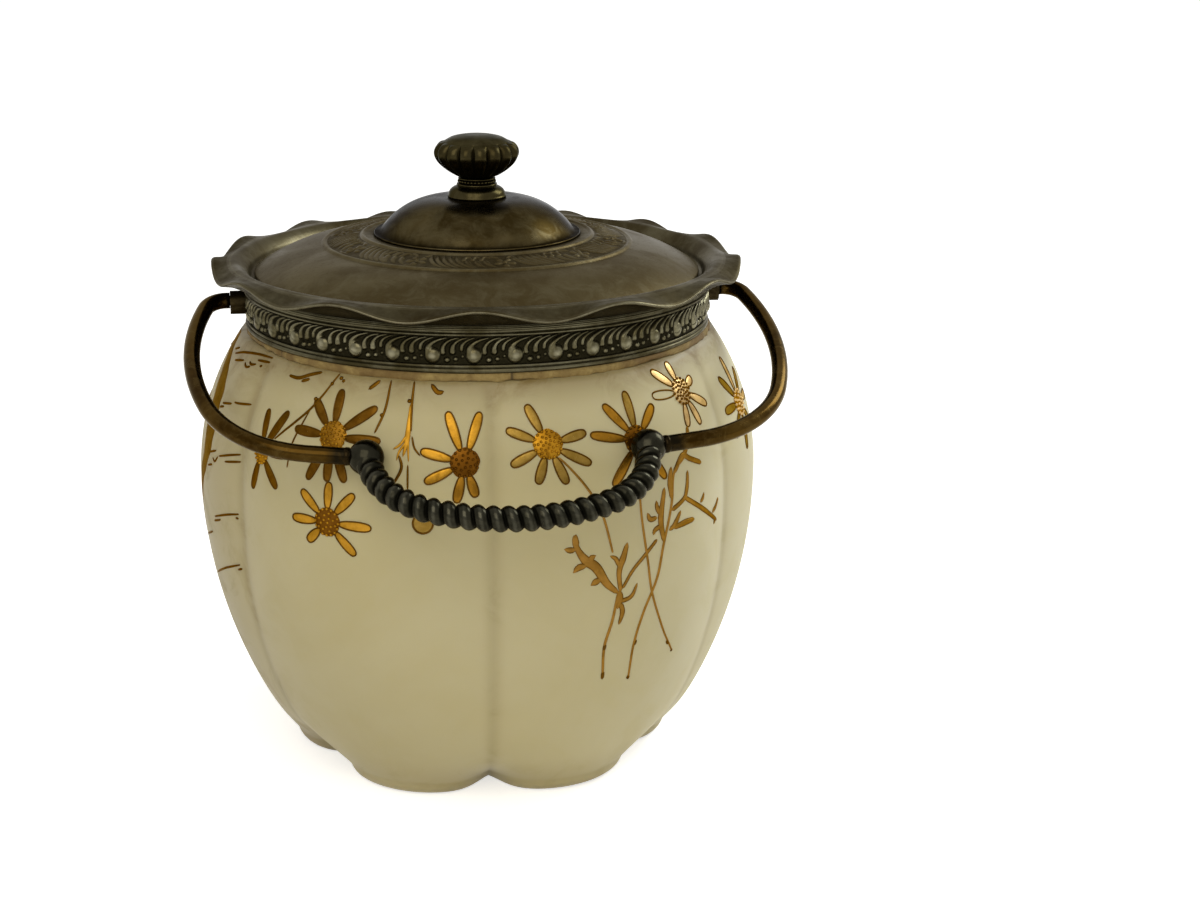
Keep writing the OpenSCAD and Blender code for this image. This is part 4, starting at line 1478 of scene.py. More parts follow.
# The short level lines on the lobe at the rear left
BARK_LINES = (
    ((-85.2, 123.6), (-81.8, 124.8)),
    ((-83.0, 122.9), (-77.7, 124.6), (-69.8, 126.0), (-63.6, 126.3)),
    ((-80.6, 121.7), (-75.2, 123.0)), ((-74.3, 122.8), (-72.8, 121.9), (-70.8, 122.4)),
    ((-72.3, 123.6), (-71.2, 123.0), (-68.8, 123.5)), ((-69.2, 124.6), (-63.8, 125.1)),
    ((-67.2, 123.4), (-66.1, 123.7)), ((-77.2, 110.5), (-72.5, 111.7)),
    ((-71.6, 112.4), (-70.2, 112.5), (-64.6, 113.6)), ((-78.3, 109.1), (-75.8, 109.9)),
    ((-79.0, 95.7), (-75.2, 97.4)), ((-73.7, 96.3), (-68.6, 98.3), (-64.8, 99.6)),
    ((-76.9, 94.9), (-75.6, 94.1), (-74.0, 96.1)), ((-70.8, 95.7), (-64.5, 97.6)),
    ((-79.8, 91.5), (-76.8, 92.8)), ((-76.2, 77.4), (-70.0, 80.3), (-65.0, 82.2)),
    ((-76.7, 75.9), (-72.9, 77.7)), ((-66.4, 80.6), (-65.2, 80.8)), ((-85.2, 68.3), (-78.9, 71.7)),
    ((-81.8, 57.8), (-73.2, 62.9), (-66.3, 66.5)), ((-67.6, 64.5), (-65.5, 65.6)),
    ((-104.0, 121.6), (-97.5, 121.2)), ((-101.0, 106.8), (-96.0, 107.6), (-92.5, 107.2)),
    ((-103.0, 92.4), (-97.0, 93.4)), ((-100.0, 76.2), (-93.5, 77.6)),
    ((-96.0, 60.4), (-90.0, 60.0)),
)

# The right side of the broad ragged stripe that edges the bark
TRUNK_SIDE = (
    (-90.5, 127.0), (-87.2, 123.2), (-83.1, 120.1), (-80.6, 117.0), (-78.9, 113.2), (-78.3, 109.0),
    (-77.8, 105.3), (-78.2, 100.1), (-78.6, 95.4), (-81.1, 89.9), (-83.9, 85.4), (-87.0, 78.0),
    (-89.2, 68.0), (-90.6, 56.0), (-92.0, 44.0), (-94.0, 33.0))


@dataclass
class Gilding:
    """The painted daisies, stems, sprigs and bark lines."""

    bowl: MelonBowl
    bud_at: tuple[float, float] = (-16.8, 91.4)
    bud_r: float = 2.7
    knot_w: float = 1.15
    bark_w: float = 0.72
    edging_w: float = 0.5

    def bud(self, brush: Brush) -> tuple[Piece, Piece]:
        """The plain round bud below the grip, and the line round it.

        Args:
            brush: The brush.

        Returns:
            The bud and its line.
        """
        share = np.linspace(0.02, 1, 5)
        a, z = self.bowl.beside(*self.bud_at, *rings(self.bud_r * share, 36))
        lift = np.broadcast_to((0.14 - 0.1 * share)[:, None], a.shape)
        edge = np.stack([a[-1], z[-1]], 1)[::3]
        line = Piece("bud_line").add(brush.stroke(edge, 0.6, 0.25, closed=True))
        return Piece("bud").add(Lattice(self.bowl.raised(a, z, lift))), line

    def trunk_edge(self) -> Piece:
        """The broad ragged stripe that edges the bark.

        Returns:
            The piece.
        """
        side = spline(TRUNK_SIDE, 12)
        down = np.linspace(0, 1, len(side))
        ragged = 0.35 * np.sin(31 * down) + 0.25 * np.sin(73 * down + 1)
        width = np.interp(down, [0, 0.06, 0.4, 0.7, 1], [6.0, 7.5, 7.0, 3.6, 0.7]) + ragged
        share = np.array([0.0, 0.03, 0.2, 0.5, 0.8, 0.97, 1.0])[None]
        a = (side[:, 0] + 0.5 * ragged)[:, None] - share * width[:, None]
        lift = np.broadcast_to(np.array([-0.03, 0.06, 0.1, 0.1, 0.1, 0.06, -0.03])[None], a.shape)
        z = np.broadcast_to(side[:, 1:2], a.shape)
        return Piece("trunk_edge").add(Lattice(self.bowl.raised(a, z, lift), wrap_columns=False))

    def build(self) -> None:
        """Builds and dresses the whole decoration."""
        brush = Brush(self.bowl)
        for daisy in DAISIES:
            daisy.build(brush)
        hanging = brush.strokes("hanging_stems", HANGING_STEMS)
        for a, z in HANGING_KNOTS:
            hanging.add(brush.bead(a, z, 0.6, 0.4))
        bud, bud_line = self.bud(brush)
        knots = [(route, self.knot_w) for route in STEM_KNOTS]
        bark = [(route, self.bark_w) for route in BARK_LINES]
        painted = (
            (hanging, Tone.DARK_STEM),
            (brush.strokes("forked_root", FORKED_ROOT, height=0.2), Tone.BRIGHT),
            (bud, Tone.OLIVE),
            (bud_line, Tone.LINE),
            (brush.strokes("long_stems", LONG_STEMS, taper=0.7), Tone.STEM),
            (brush.strokes("stem_knots", knots, height=0.26), Tone.LINE),
            (brush.strokes("fern_sprigs", FERN_SPRIGS, height=0.24), Tone.STEM),
            (brush.strokes("fern_edging", FERN_SPRIGS, height=0.1, wider=self.edging_w), Tone.LINE),
            (brush.strokes("bark_lines", bark, height=0.2), Tone.DARK_STEM),
            (self.trunk_edge(), Tone.TRUNK))
        for piece, tone in painted:
            dress(piece, tone, "jar", "opal_glass")


# ---- Relief drawing ----


@dataclass
class ReliefBlock:
    """A die for rolled ornament: one repeat of rounded strokes on a sunk ground."""

    width: float
    height: float
    columns: int
    rows: int
    roundness: float = 0.62
    vein_pull: float = 14.0

    def __post_init__(self) -> None:
        """Lays out the die's points."""
        across = np.linspace(0, self.width, self.columns, endpoint=False)
        self.x, self.y = np.meshgrid(across, np.linspace(0, self.height, self.rows))
        self.level = np.zeros_like(self.x)

    def cut(self, route: Route, swell: Sequence[float], rise: float,
            vein: float = 0.0) -> None:
        """Raises a rounded stroke, which runs on into the next repeat.

        Args:
            route: Points of the stroke's middle line.
            swell: Half widths at equal steps along it.
            rise: Height of a wide part's crown.
            vein: Depth of a line cut along its middle.
        """
        line = spline(route, 8)
        half = np.interp(np.linspace(0, 1, len(line)), np.linspace(0, 1, len(swell)), swell)
        for shift in (-2 * self.width, -self.width, 0.0, self.width):
            for (px, py), w in zip(line, half):
                near = ((self.x - px - shift) ** 2 + (self.y - py) ** 2) / (w * w)
                crown = rise * np.clip(1 - near, 0, 1) ** self.roundness * min(1.0, 0.45 + w / 1.8)
                if vein:
                    crown -= vein * np.exp(-near * self.vein_pull) * (near < 1)
                self.level = np.maximum(self.level, crown)

    def spread(self, repeats: int) -> Array:
        """The die rolled round the whole ring."""
        return np.tile(self.level, (1, repeats))


def softened(values: Array, passes: int = 1) -> Array:
    """Rounds a height field a little.

    Args:
        values: The heights, rows by columns, with the columns running round a ring.
        passes: How often it is rounded.

    Returns:
        The rounded heights.
    """
    for _ in range(passes):
        padded = np.pad(values, ((1, 1), (0, 0)), mode="edge")
        beside = 2 * values + np.roll(values, 1, 1) + np.roll(values, -1, 1)
        values = (beside + padded[:-2] + padded[2:]) / 6
    return values


# ---- The collar ----


@dataclass
class Collar:
    """The plaster bed, foot bead, gallery band and moulding.

    Each crack in the plaster is an angle round the jar and a depth.
    """

    radius: float = 66.8
    collar_z: float = 129.2
    bead_h: float = 2.4
    band_h: float = 7.9
    moulding_h: float = 3.1
    repeats: int = 38
    phase: float = 2.4
    seed: int = 3
    clear: float = 0.05
    neck_r: float = 62.55
    bed_z: float = 129.0
    bed_top: float = 141.6
    heavy_turn: float = 25.0
    crack_w: float = 0.3
    cracks: tuple[tuple[float, float], ...] = ((1.6, 1.0), (300.0, 0.6))
    worn_share: float = 0.08
    relief_h: float = 1.35

    def turned(self, name: str, profile: Array, node: str) -> Object:
        """Builds and dresses one turned ring.

        Args:
            name: The piece's name.
            profile: Radius and height of each row, as a loop.
            node: The CAD node that it stands for.

        Returns:
            The new object.
        """
        lattice = lathe(profile, 360, closed=True)
        piece = Piece(name).add(lattice, relief=lattice.hollows())
        return dress(piece, COLLAR_PLATE, "jar", "collar_plate", node)

    def plaster(self) -> Object:
        """The ragged line of plaster under the collar's foot.

        Returns:
            The new object.
        """
        chance = np.random.default_rng(self.seed)
        turn = np.linspace(0, 2 * math.pi, 720, endpoint=False)
        ragged = sum(chance.normal() / (k ** 0.7) * np.cos(k * turn + chance.uniform(0, 6.28))
                     for k in range(3, 90))
        ragged = ragged / np.abs(ragged).max()
        heavy = 0.5 + 0.5 * np.cos(turn - math.radians(self.heavy_turn))
        low = self.collar_z - 1.3 - 0.8 * heavy - 0.85 * ragged
        out = self.radius + 0.55 + 0.7 * heavy + 0.7 * np.roll(ragged, 9)
        azimuth = np.degrees(turn)
        crack = sum(depth * np.exp(-((azimuth - at) / self.crack_w) ** 2)
                    for at, depth in self.cracks)
        shape = [(-4.0, 0.2, 0), (-1.2, 0.1, 0), (-0.2, 0.0, 0), (0.0, 0.12, 1), (0.05, 0.45, 1),
                 (0.0, 0.75, 1), (-0.35, 0.95, 1), (-0.9, 1.0, 0)]
        rows = []
        for outward, rise, shows in shape:
            r = out + outward - 0.35 * crack * shows
            rows.append(round_points(azimuth, r, low + rise * (self.collar_z + 0.1 - low)))
        inner = self.radius - 0.85
        hidden = ((inner, self.collar_z - self.clear), (inner, self.bed_top),
                  (self.neck_r, self.bed_top), (self.neck_r, self.bed_z))
        rows += [round_points(azimuth, r, z) for r, z in hidden]
        piece = Piece("plaster_bed").add(Lattice(np.stack(rows), wrap_rows=True), crack=crack)
        return dress(piece, PlasterFinish(), "jar", "plaster", "plaster_ring")

    def foot(self) -> Object:
        """The half-round bead at the collar's foot, with a finer one above it.

        Returns:
            The new object.
        """
        low_r, high_r, top = 0.31 * self.bead_h, 0.19 * self.bead_h, self.collar_z + self.bead_h
        back, out = self.radius + self.clear, self.radius + 0.3
        profile = np.vstack([
            [[back, self.collar_z]], arc((out, self.collar_z + low_r), low_r, -90, 75, 12),
            arc((out, top - high_r), high_r, -75, 90, 8), [[back, top]]])
        return self.turned("foot_line", profile, "foot_bead")

    def die(self) -> ReliefBlock:
        """One repeat of the gallery's ornament: a boss, four comma leaves and three beads.

        Returns:
            The die.
        """
        block = ReliefBlock(11.18, self.band_h, 54, 46)
        block.cut(((0.0, 2.5), (0.05, 2.55)), (2.25, 2.25), 1.25)
        block.cut(((-1.35, 3.0), (-1.15, 4.3), (-0.3, 5.6), (1.5, 6.7), (3.9, 7.35)),
                  (0.8, 0.95, 0.75, 0.52, 0.25), 1.05)
        block.cut(((2.9, 3.4), (2.85, 4.4), (3.5, 5.7), (5.0, 6.8), (7.2, 7.4)),
                  (0.82, 0.72, 0.56, 0.42, 0.2), 1.05)
        block.cut(((5.5, 3.6), (5.5, 4.6), (6.1, 5.8), (7.6, 6.9), (9.6, 7.45)),
                  (0.95, 0.78, 0.58, 0.42, 0.2), 1.05)
        block.cut(((7.9, 4.2), (8.0, 5.1), (8.7, 6.1), (10.0, 6.9), (11.6, 7.4)),
                  (0.62, 0.6, 0.48, 0.36, 0.2), 0.9)
        block.cut(((4.0, 1.35), (4.05, 1.4)), (0.82, 0.82), 1.0)
        block.cut(((6.3, 1.6), (6.35, 1.65)), (0.7, 0.7), 0.95)
        block.cut(((8.2, 2.3), (8.25, 2.35)), (0.5, 0.5), 0.8)
        return block

    def band(self) -> Object:
        """The rolled gallery band.

        Returns:
            The new object.
        """
        block = self.die()
        level = softened(block.spread(self.repeats))
        rows, columns = level.shape
        chance = np.random.default_rng(self.seed)
        turn = np.linspace(0, 2 * math.pi, columns, endpoint=False)
        worn = sum(chance.normal() * np.cos(k * turn + k) for k in (1, 2, 3, 5, 8, 13))
        level = level * (1 - self.worn_share * np.clip(worn / 3, -1, 1))
        azimuth = (np.arange(columns) / columns * 360 + self.phase)[None]
        z0 = self.collar_z + self.bead_h
        height = np.linspace(0, self.band_h, rows)[:, None] + z0
        outer = round_points(azimuth, self.radius + 0.2 + level, height)
        back = round_points(azimuth, self.radius + self.clear, np.array([[z0 + self.band_h], [z0]]))
        relief = np.vstack([np.clip(level / self.relief_h, 0, 1), np.full((2, columns), 0.5)])
        lattice = Lattice(np.vstack([outer, back]), wrap_rows=True)
        piece = Piece("gallery_relief").add(lattice, relief=relief)
        return dress(piece, GALLERY_PLATE, "jar", "gallery_plate", "gallery_band")

    def moulding(self) -> Object:
        """The bead and cove above the band.

        Returns:
            The new object.
        """
        r, z = self.radius, self.collar_z + self.bead_h + self.band_h
        top = z + self.moulding_h
        profile = np.vstack([
            [[r + self.clear, z]], arc((r + 0.95, z + 0.38), 0.36, -90, 80, 9),
            bezier((r + 0.85, z + 0.85), (r + 0.5, z + 1.3), (r + 0.9, z + 1.7), 7),
            arc((r + 1.05, z + 1.95), 0.3, -70, 80, 7),
            bezier((r + 1.05, z + 2.3), (r + 1.2, top - 0.1), (r + 2.7, top), 10),
            [[r + self.clear, top]]])
        return self.turned("bead_and_cove", profile, "collar_moulding")

    def build(self) -> None:
        """Builds and dresses the collar."""
        self.plaster()
        self.foot()
        self.band()
        self.moulding()


@dataclass
class ScallopedRim:
    """The flared rim with its scalloped edge and the ledge inside it."""

    seat_in: float = 60.4
    seat_out: float = 65.6
    seat_z: float = 143.4
    ridge_r: float = 70.0
    ridge_h: float = 4.6
    rim_r: float = 77.0
    rise: float = 3.5
    scallops: int = 14
    scallop_h: float = 1.6
    turn: float = -6.0
    crowd: float = 9.0
    sheet: float = 0.8
    columns: int = 448
    # Rows of the underside, lip, outer slope and ridge, and the least and most relief they show:
    # painted shade under the rim, a painted highlight along the lip, a painted dark reflection on
    # the outer slope and a painted highlight on the ridge
    wear_and_light: tuple[tuple[int, int, float, float], ...] = (
        (8, 27, 0.0, 0.14), (32, 45, 0.8, 1.0), (49, 59, 0.0, 0.16), (60, 62, 0.74, 1.0))

    def build(self) -> Object:
        """Builds and dresses the rim.

        Returns:
            The rim.
        """
        even = turns(self.columns)
        azimuth = even + self.crowd * np.sin(np.radians(even)) + self.turn
        s = self.scallop_h * np.cos(np.radians(self.scallops * even))
        edge, ridge = self.seat_z + self.rise, self.seat_z + self.ridge_h
        section = [
            (self.seat_in, self.seat_z - self.sheet, 0),
            (self.seat_out + 0.7, self.seat_z - self.sheet, 0),
            (self.ridge_r - 1.4, self.seat_z - 0.6, 0),
            (self.ridge_r + 1.2, self.seat_z + 0.1, 0.15),
            (self.rim_r - 3.4, edge - 2.0, 0.6),
            (self.rim_r - 1.4, edge - 1.2, 1),
            (self.rim_r - 0.35, edge - 1.0, 1),
            (self.rim_r, edge - 0.5, 1),
            (self.rim_r - 0.5, edge - 0.05, 1),
            (self.rim_r - 2.6, edge + 0.45, 0.6),
            (self.ridge_r + 1.8, ridge - 0.1, 0.15),
            (self.ridge_r, ridge, 0),
            (self.ridge_r - 1.6, ridge - 0.9, 0),
            (self.ridge_r - 3.2, self.seat_z + 0.45 * self.ridge_h, 0),
            (self.seat_out, self.seat_z, 0),
            (self.seat_in, self.seat_z, 0)]
        fine = spline(section, 6, closed=True)
        r, z, share = (fine[:, k:k + 1] for k in range(3))
        lattice = Lattice(round_points(azimuth[None], r, z + share * s[None]), wrap_rows=True)
        relief = lattice.hollows(2)
        # These rows paint shade, a dark reflection and highlights through the relief
        for first, stop, least, most in self.wear_and_light:
            relief[first:stop] = np.clip(relief[first:stop], least, most)
        piece = Piece("scallop_rim").add(lattice, relief=relief)
        return dress(piece, RIM_PLATE, "jar", "rim_plate", "scalloped_rim")


# ---- The bail ----


@dataclass
class Bail:
    """The two bent wires, the ball knuckles and the twisted grip.

    Each soot is given by where it starts, from the knuckle's middle or along the hinge, and by the
    length over which it grows.
    """

    hinge_z: float = 136.5
    lean: float = 70.0147
    wire_d: float = 4.6
    pivot_d: float = 3.0
    pivot_from: float = 68.4
    wire_from: float = 72.08
    bend_x: float = 73.1
    bend_r: float = 6.2995
    bow_r: float = 79.864
    bow_turn: float = 18.0
    corner_r: float = 34.0
    slope: float = 10.0
    knuckle_x: float = 37.848
    knuckle_drop: float = 79.3
    knuckle_d: float = 9.6
    grip_d: float = 7.0
    twist_depth: float = 1.25
    ridges: int = 25
    arc_r: float = 55.0
    arc_turn: float = 25.0
    grip_corner_r: float = 24.0
    grip_corner_turn: float = 55.0
    straight: float = 2.5
    cut: float = 3.9
    grip_sides: int = 48
    ridge_steps: int = 14
    ferrule_at: tuple[float, ...] = (5.75, 5.6, 5.3, 4.9, 4.5, 4.4)
    ferrule_swell: tuple[float, ...] = (-0.05, 0.1, 0.15, 0.15, 0.1, 0.0)
    knuckle_soot: tuple[float, float] = (10.5, 2.6)
    ear_soot: tuple[float, float] = (75.0, 3.0)
    ear_black: float = 0.8

    def hung(self, plane: Array) -> Array:
        """Puts points of the bail's own plane where the bail hangs.

        Args:
            plane: Across the jar, away from the hinge line, and off the plane.

        Returns:
            The points.
        """
        turn = math.radians(180 - self.lean)
        y, z = -plane[..., 2], plane[..., 1]
        return np.stack([plane[..., 0], y * math.cos(turn) - z * math.sin(turn),
                         y * math.sin(turn) + z * math.cos(turn) + self.hinge_z], -1)

    def route(self) -> tuple[Array, Array]:
        """The middle line of the right wire.

        Returns:
            Its points in the bail's plane and its headings.
        """
        points, headings = [np.array([self.wire_from, 0.0])], [0.0]

        def turn_by(radius: float, turn: float, steps: int) -> None:
            """Adds a round bend to the route.

            Args:
                radius: The bend's radius.
                turn: How far it turns.
                steps: Number of segments.
            """
            start, heading = points[-1], headings[-1]
            way = math.radians(heading)
            centre = start + radius * np.array([-math.sin(way), math.cos(way)])
            for k in range(1, steps + 1):
                h = math.radians(heading + turn * k / steps)
                points.append(centre + radius * np.array([math.sin(h), -math.cos(h)]))
                headings.append(heading + turn * k / steps)

        points.append(np.array([self.bend_x, 0.0]))
        headings.append(0.0)
        turn_by(self.bend_r, 90 - self.bow_turn, 16)
        turn_by(self.bow_r, 2 * self.bow_turn, 30)
        turn_by(self.corner_r, 90 - self.bow_turn - self.slope, 24)
        last, end = points[-1], np.array([self.knuckle_x, self.knuckle_drop])
        for k in range(1, 25):
            points.append(last + (end - last) * k / 24 * 0.97)
            headings.append(180 - self.slope)
        return np.array(points), np.array(headings)

    def tube(self, points: Array, headings: Array, radius: Array, sides: int = 40) -> Lattice:
        """A round tube along a line in the bail's plane.

        Args:
            points: The middle line.
            headings: Its headings.
            radius: Radius at each point.
            sides: Points round the tube.

        Returns:
            The lattice.
        """
        q = np.radians(turns(sides))[None]
        h = np.radians(headings)[:, None]
        r = np.asarray(radius)[:, None]
        off = r * np.cos(q)
        plane = [points[:, :1] - off * np.sin(h), points[:, 1:2] + off * np.cos(h), r * np.sin(q)]
        return Lattice(self.hung(np.stack(plane, -1)))

    def wire(self, side: int, name: str, node: str) -> Object:
        """One bent wire with its pivot and the collar where it enters the knuckle.

        Args:
            side: 1 for the right wire, -1 for the left.
            name: The piece's name.
            node: The CAD node that it stands for.

        Returns:
            The wire.
        """
        points, headings = self.route()
        end = np.array([self.knuckle_x, self.knuckle_drop])
        gap = np.linalg.norm(points - end, axis=1)
        (reach, over), (ear_x, ear_over) = self.knuckle_soot, self.ear_soot
        soot = np.clip((reach - gap) / over, 0, 1) ** 0.8
        half = len(points) // 2
        soot[:half] = np.clip((ear_x - points[:half, 0]) / ear_over, 0, self.ear_black)
        radius = np.full(len(points), self.wire_d / 2)
        tip, neck = [self.pivot_from, 0.0], [self.wire_from, 0.0]
        start_r = [0.01, self.pivot_d / 2, self.pivot_d / 2, self.wire_d / 2 - 0.3]
        points = np.vstack([[tip, tip, neck, neck], points])
        headings = np.concatenate([np.zeros(4), headings])
        radius = np.concatenate([start_r, radius])
        soot = np.concatenate([np.full(4, self.ear_black), soot])
        lattice = self.tube(points, headings, radius)
        lattice.points[..., 0] *= side
        piece = Piece(name).add(lattice, soot=soot[:, None])
        run = points[-1] - points[-2]
        run /= np.linalg.norm(run)
        at, swell = np.array(self.ferrule_at), np.array(self.ferrule_swell)
        heading = np.full(len(at), 180 - self.slope)
        ferrule = self.tube(end - at[:, None] * run, heading, self.wire_d / 2 + swell)
        ferrule.points[..., 0] *= side
        piece.add(ferrule, soot=0.9)
        return dress(piece, BAIL_WIRE, "bail", "bail_wire", node)

    def knuckle(self, side: int, name: str, node: str) -> Object:
        """One ball knuckle.

        Args:
            side: 1 for the right one, -1 for the left.
            name: The piece's name.
            node: The CAD node that it stands for.

        Returns:
            The knuckle.
        """
        fall, r = np.radians(np.linspace(1, 179, 40)), self.knuckle_d / 2
        x, y = rings(r * np.sin(fall), 56)
        plane = np.broadcast_arrays(
            self.knuckle_x + x, self.knuckle_drop + y, (r * np.cos(fall))[:, None])
        points = self.hung(np.stack(plane, -1))
        points[..., 0] *= side
        piece = Piece(name).add(Lattice(points), relief=0.5)
        return dress(piece, GRIP_PLATE, "bail", "grip_plate", node)

    def grip(self) -> Object:
        """The rope-twisted grip.

        Returns:
            The new object.
        """
        corner_r, a0 = self.grip_corner_r, math.radians(self.arc_turn)
        a1 = math.radians(self.arc_turn + self.grip_corner_turn)
        corner_len = corner_r * math.radians(self.grip_corner_turn)
        half_arc = self.arc_r * a0
        half = self.straight + corner_len + half_arc
        inner = self.arc_r - corner_r
        corner_x, corner_y = inner * math.sin(a0), inner * math.cos(a0)
        half_w = corner_x + corner_r * math.sin(a1)
        depth = self.arc_r - corner_y - corner_r * math.cos(a1)
        bottom = self.knuckle_drop + depth + (self.straight + self.cut) * math.sin(a1)
        rows = []
        steps = self.ridges * self.ridge_steps
        q = np.linspace(0, 2 * math.pi, self.grip_sides, endpoint=False)
        for i in range(steps + 1):
            s = 2 * half * i / steps
            d = abs(s - half)
            if d < half_arc:
                a = d / self.arc_r
                x, y = self.arc_r * math.sin(a), bottom - self.arc_r * (1 - math.cos(a))
            elif d < half_arc + corner_len:
                a = a0 + (d - half_arc) / corner_r
                x = corner_x + corner_r * math.sin(a)
                y = bottom - self.arc_r + corner_y + corner_r * math.cos(a)
            else:
                a, past = a1, d - half_arc - corner_len
                x, y = half_w + past * math.cos(a), bottom - depth - past * math.sin(a)
            if s <= half:
                x, a = -x, -a
            phase = math.pi * self.ridges * s / (2 * half) - q / 2
            r = self.grip_d / 2 - self.twist_depth * (1 - np.abs(np.cos(phase)) ** 0.75)
            off = r * np.cos(q)
            rows.append(np.stack([x + off * math.sin(a), y + off * math.cos(a), r * np.sin(q)], -1))
        lattice = Lattice(self.hung(np.stack(rows)))
        along = np.linspace(0, 1, steps + 1)[:, None]
        across = np.linspace(0, math.pi, self.grip_sides, endpoint=False)
        phase = math.pi * self.ridges * along - across
        piece = Piece("rope_grip").add(lattice, relief=np.abs(np.cos(phase)) ** 1.2 * 0.75)
        return dress(piece, GRIP_PLATE, "bail", "grip_plate", "twisted_grip")

    def build(self) -> None:
        """Builds and dresses the bail."""
        self.wire(1, "bail_wire_right", "right_wire")
        self.wire(-1, "bail_wire_left", "left_wire")
        self.knuckle(1, "ball_right", "right_knuckle")
        self.knuckle(-1, "ball_left", "left_knuckle")
        self.grip()


# ---- The lid ----


@dataclass
class Lid:
    """The spun plate with its ornamental ring, and the dome."""

    lid_r: float = 64.8
    lid_z: float = 143.5
    ring_z: float = 152.2
    ring_r: float = 45.4
    ring_in: float = 32.2
    dome_z: float = 154.7
    dome_r: float = 29.8
    dome_top: float = 165.3
    stem_r: float = 11.0
    sheet: float = 0.8
    hole_r: float = 25.8
    repeats: int = 10
    columns: int = 960
    foliage_in: float = 34.2
    foliage_out: float = 43.7
    lines_r: tuple[float, float] = (44.6, 33.3)
    line_w: float = 0.65
    line_h: float = 0.55

    def die(self) -> ReliefBlock:
        """One repeat of the lid ring's foliage: a small blossom, slanting blades and comma leaves.

        Returns:
            The die.
        """
        block = ReliefBlock(24.9, 9.5, self.columns // self.repeats, 44)
        for k in range(5):
            a = math.radians(90 + 72 * k)
            root = (3.4 + 1.1 * math.cos(a), 5.2 + 1.1 * math.sin(a))
            tip = (3.4 + 2.3 * math.cos(a), 5.2 + 2.3 * math.sin(a))
            block.cut((root, tip), (0.5, 0.95), 0.55)
        block.cut(((3.4, 5.2), (3.5, 5.2)), (0.65, 0.65), 0.85)
        for k in range(5):
            x = 6.4 + 2.0 * k
            blade = ((x, 0.6), (x + 0.7, 3.2), (x + 2.8, 6.6), (x + 5.6, 8.9))
            block.cut(blade, (0.4, 0.85, 0.75, 0.25), 0.62, 0.16)
        block.cut(((-0.4, 0.7), (1.2, 1.2), (2.2, 2.4)), (0.6, 0.75, 0.25), 0.5)
        block.cut(((4.4, 2.4), (5.4, 1.2), (6.8, 0.7)), (0.25, 0.75, 0.5), 0.5)
        for k in range(3):
            x = 16.6 + 2.6 * k
            comma = ((x, 3.2), (x + 0.4, 1.6), (x + 1.5, 0.9), (x + 2.6, 1.9))
            block.cut(comma, (0.7, 0.62, 0.5, 0.25), 0.58)
            leaf = ((x + 1.3, 4.4), (x + 1.9, 6.2), (x + 3.8, 8.4))
            block.cut(leaf, (0.85, 0.75, 0.25), 0.62, 0.14)
        block.cut(((0.6, 8.6), (2.6, 8.9), (5.0, 8.5)), (0.25, 0.6, 0.25), 0.45)
        return block

    def plate(self) -> Object:
        """The plate: rolled edge, slope, border lines, foliage ring and the flange under the dome.

        Returns:
            The new object.
        """
        r, z = self.lid_r, self.lid_z
        rim = [[r - 1.6, z], [r - 0.3, z], [r - 0.05, z + 0.3], [r, z + 0.7], [r - 0.12, z + 1.15]]
        slope = bezier((r - 0.4, z + 1.4), (r - 9, self.ring_z - 1.6),
                       (self.ring_r + 0.4, self.ring_z - 0.05), 14)
        block = self.die()
        foliage = softened(block.spread(self.repeats))
        zone = np.linspace(self.ring_r + 0.2, self.ring_in + 0.2, 58)
        inner, outer = self.foliage_in, self.foliage_out
        flat = np.interp(zone, [self.ring_in, self.ring_in + 2.2, self.ring_r - 1.7, self.ring_r],
                         [self.dome_z, self.dome_z - 0.3, self.ring_z + 0.5, self.ring_z])
        lines = np.zeros_like(zone)
        for at in self.lines_r:
            dome = np.sqrt(np.clip(1 - ((zone - at) / self.line_w) ** 2, 0, 1))
            lines = np.maximum(lines, self.line_h * dome)
        inside = (zone > inner) & (zone < outer)
        level = np.repeat(lines[:, None], self.columns, 1)
        at = (outer - zone[inside]) / (outer - inner) * (foliage.shape[0] - 1)
        low = np.floor(at).astype(int)
        share = (at - low)[:, None]
        drawn, last = foliage[::-1], foliage.shape[0] - 1
        picked = drawn[low] * (1 - share) + drawn[np.minimum(low + 1, last)] * share
        level[inside] = np.maximum(level[inside], 1.05 * picked - 0.12)
        azimuth = turns(self.columns)[None]
        rows = [round_points(azimuth, r, z) for r, z in np.vstack([rim, slope])]
        rows.append(round_points(azimuth, zone[:, None], flat[:, None] + level))
        under = [(self.hole_r, self.dome_z), (self.hole_r, self.dome_z - self.sheet),
                 (self.ring_in, self.dome_z - self.sheet),
                 (self.ring_r - 1.7, self.ring_z + 0.4 - self.sheet),
                 (self.ring_r, self.ring_z - self.sheet)]
        under += [tuple(p - (0.3, self.sheet)) for p in slope[-3:1:-4]]
        rows += [round_points(azimuth, r, z) for r, z in under]
        points = np.vstack(rows)
        relief = np.full(points.shape[:2], 0.5)
        first = len(rim) + len(slope)
        carved, plain = np.clip(0.22 + level, 0, 1), np.clip(0.42 + 0.75 * level, 0, 1)
        shown = np.where(inside[:, None], carved, plain)
        shown[zone < self.ring_in + 1.0] = 0.3
        stop = first + len(zone)
        relief[first:stop] = shown
        relief[stop] = 0.05
        piece = Piece("lid_sheet").add(Lattice(points, wrap_rows=True), relief=relief)
        return dress(piece, LID_PLATE, "lid", "lid_plate", "lid_plate")

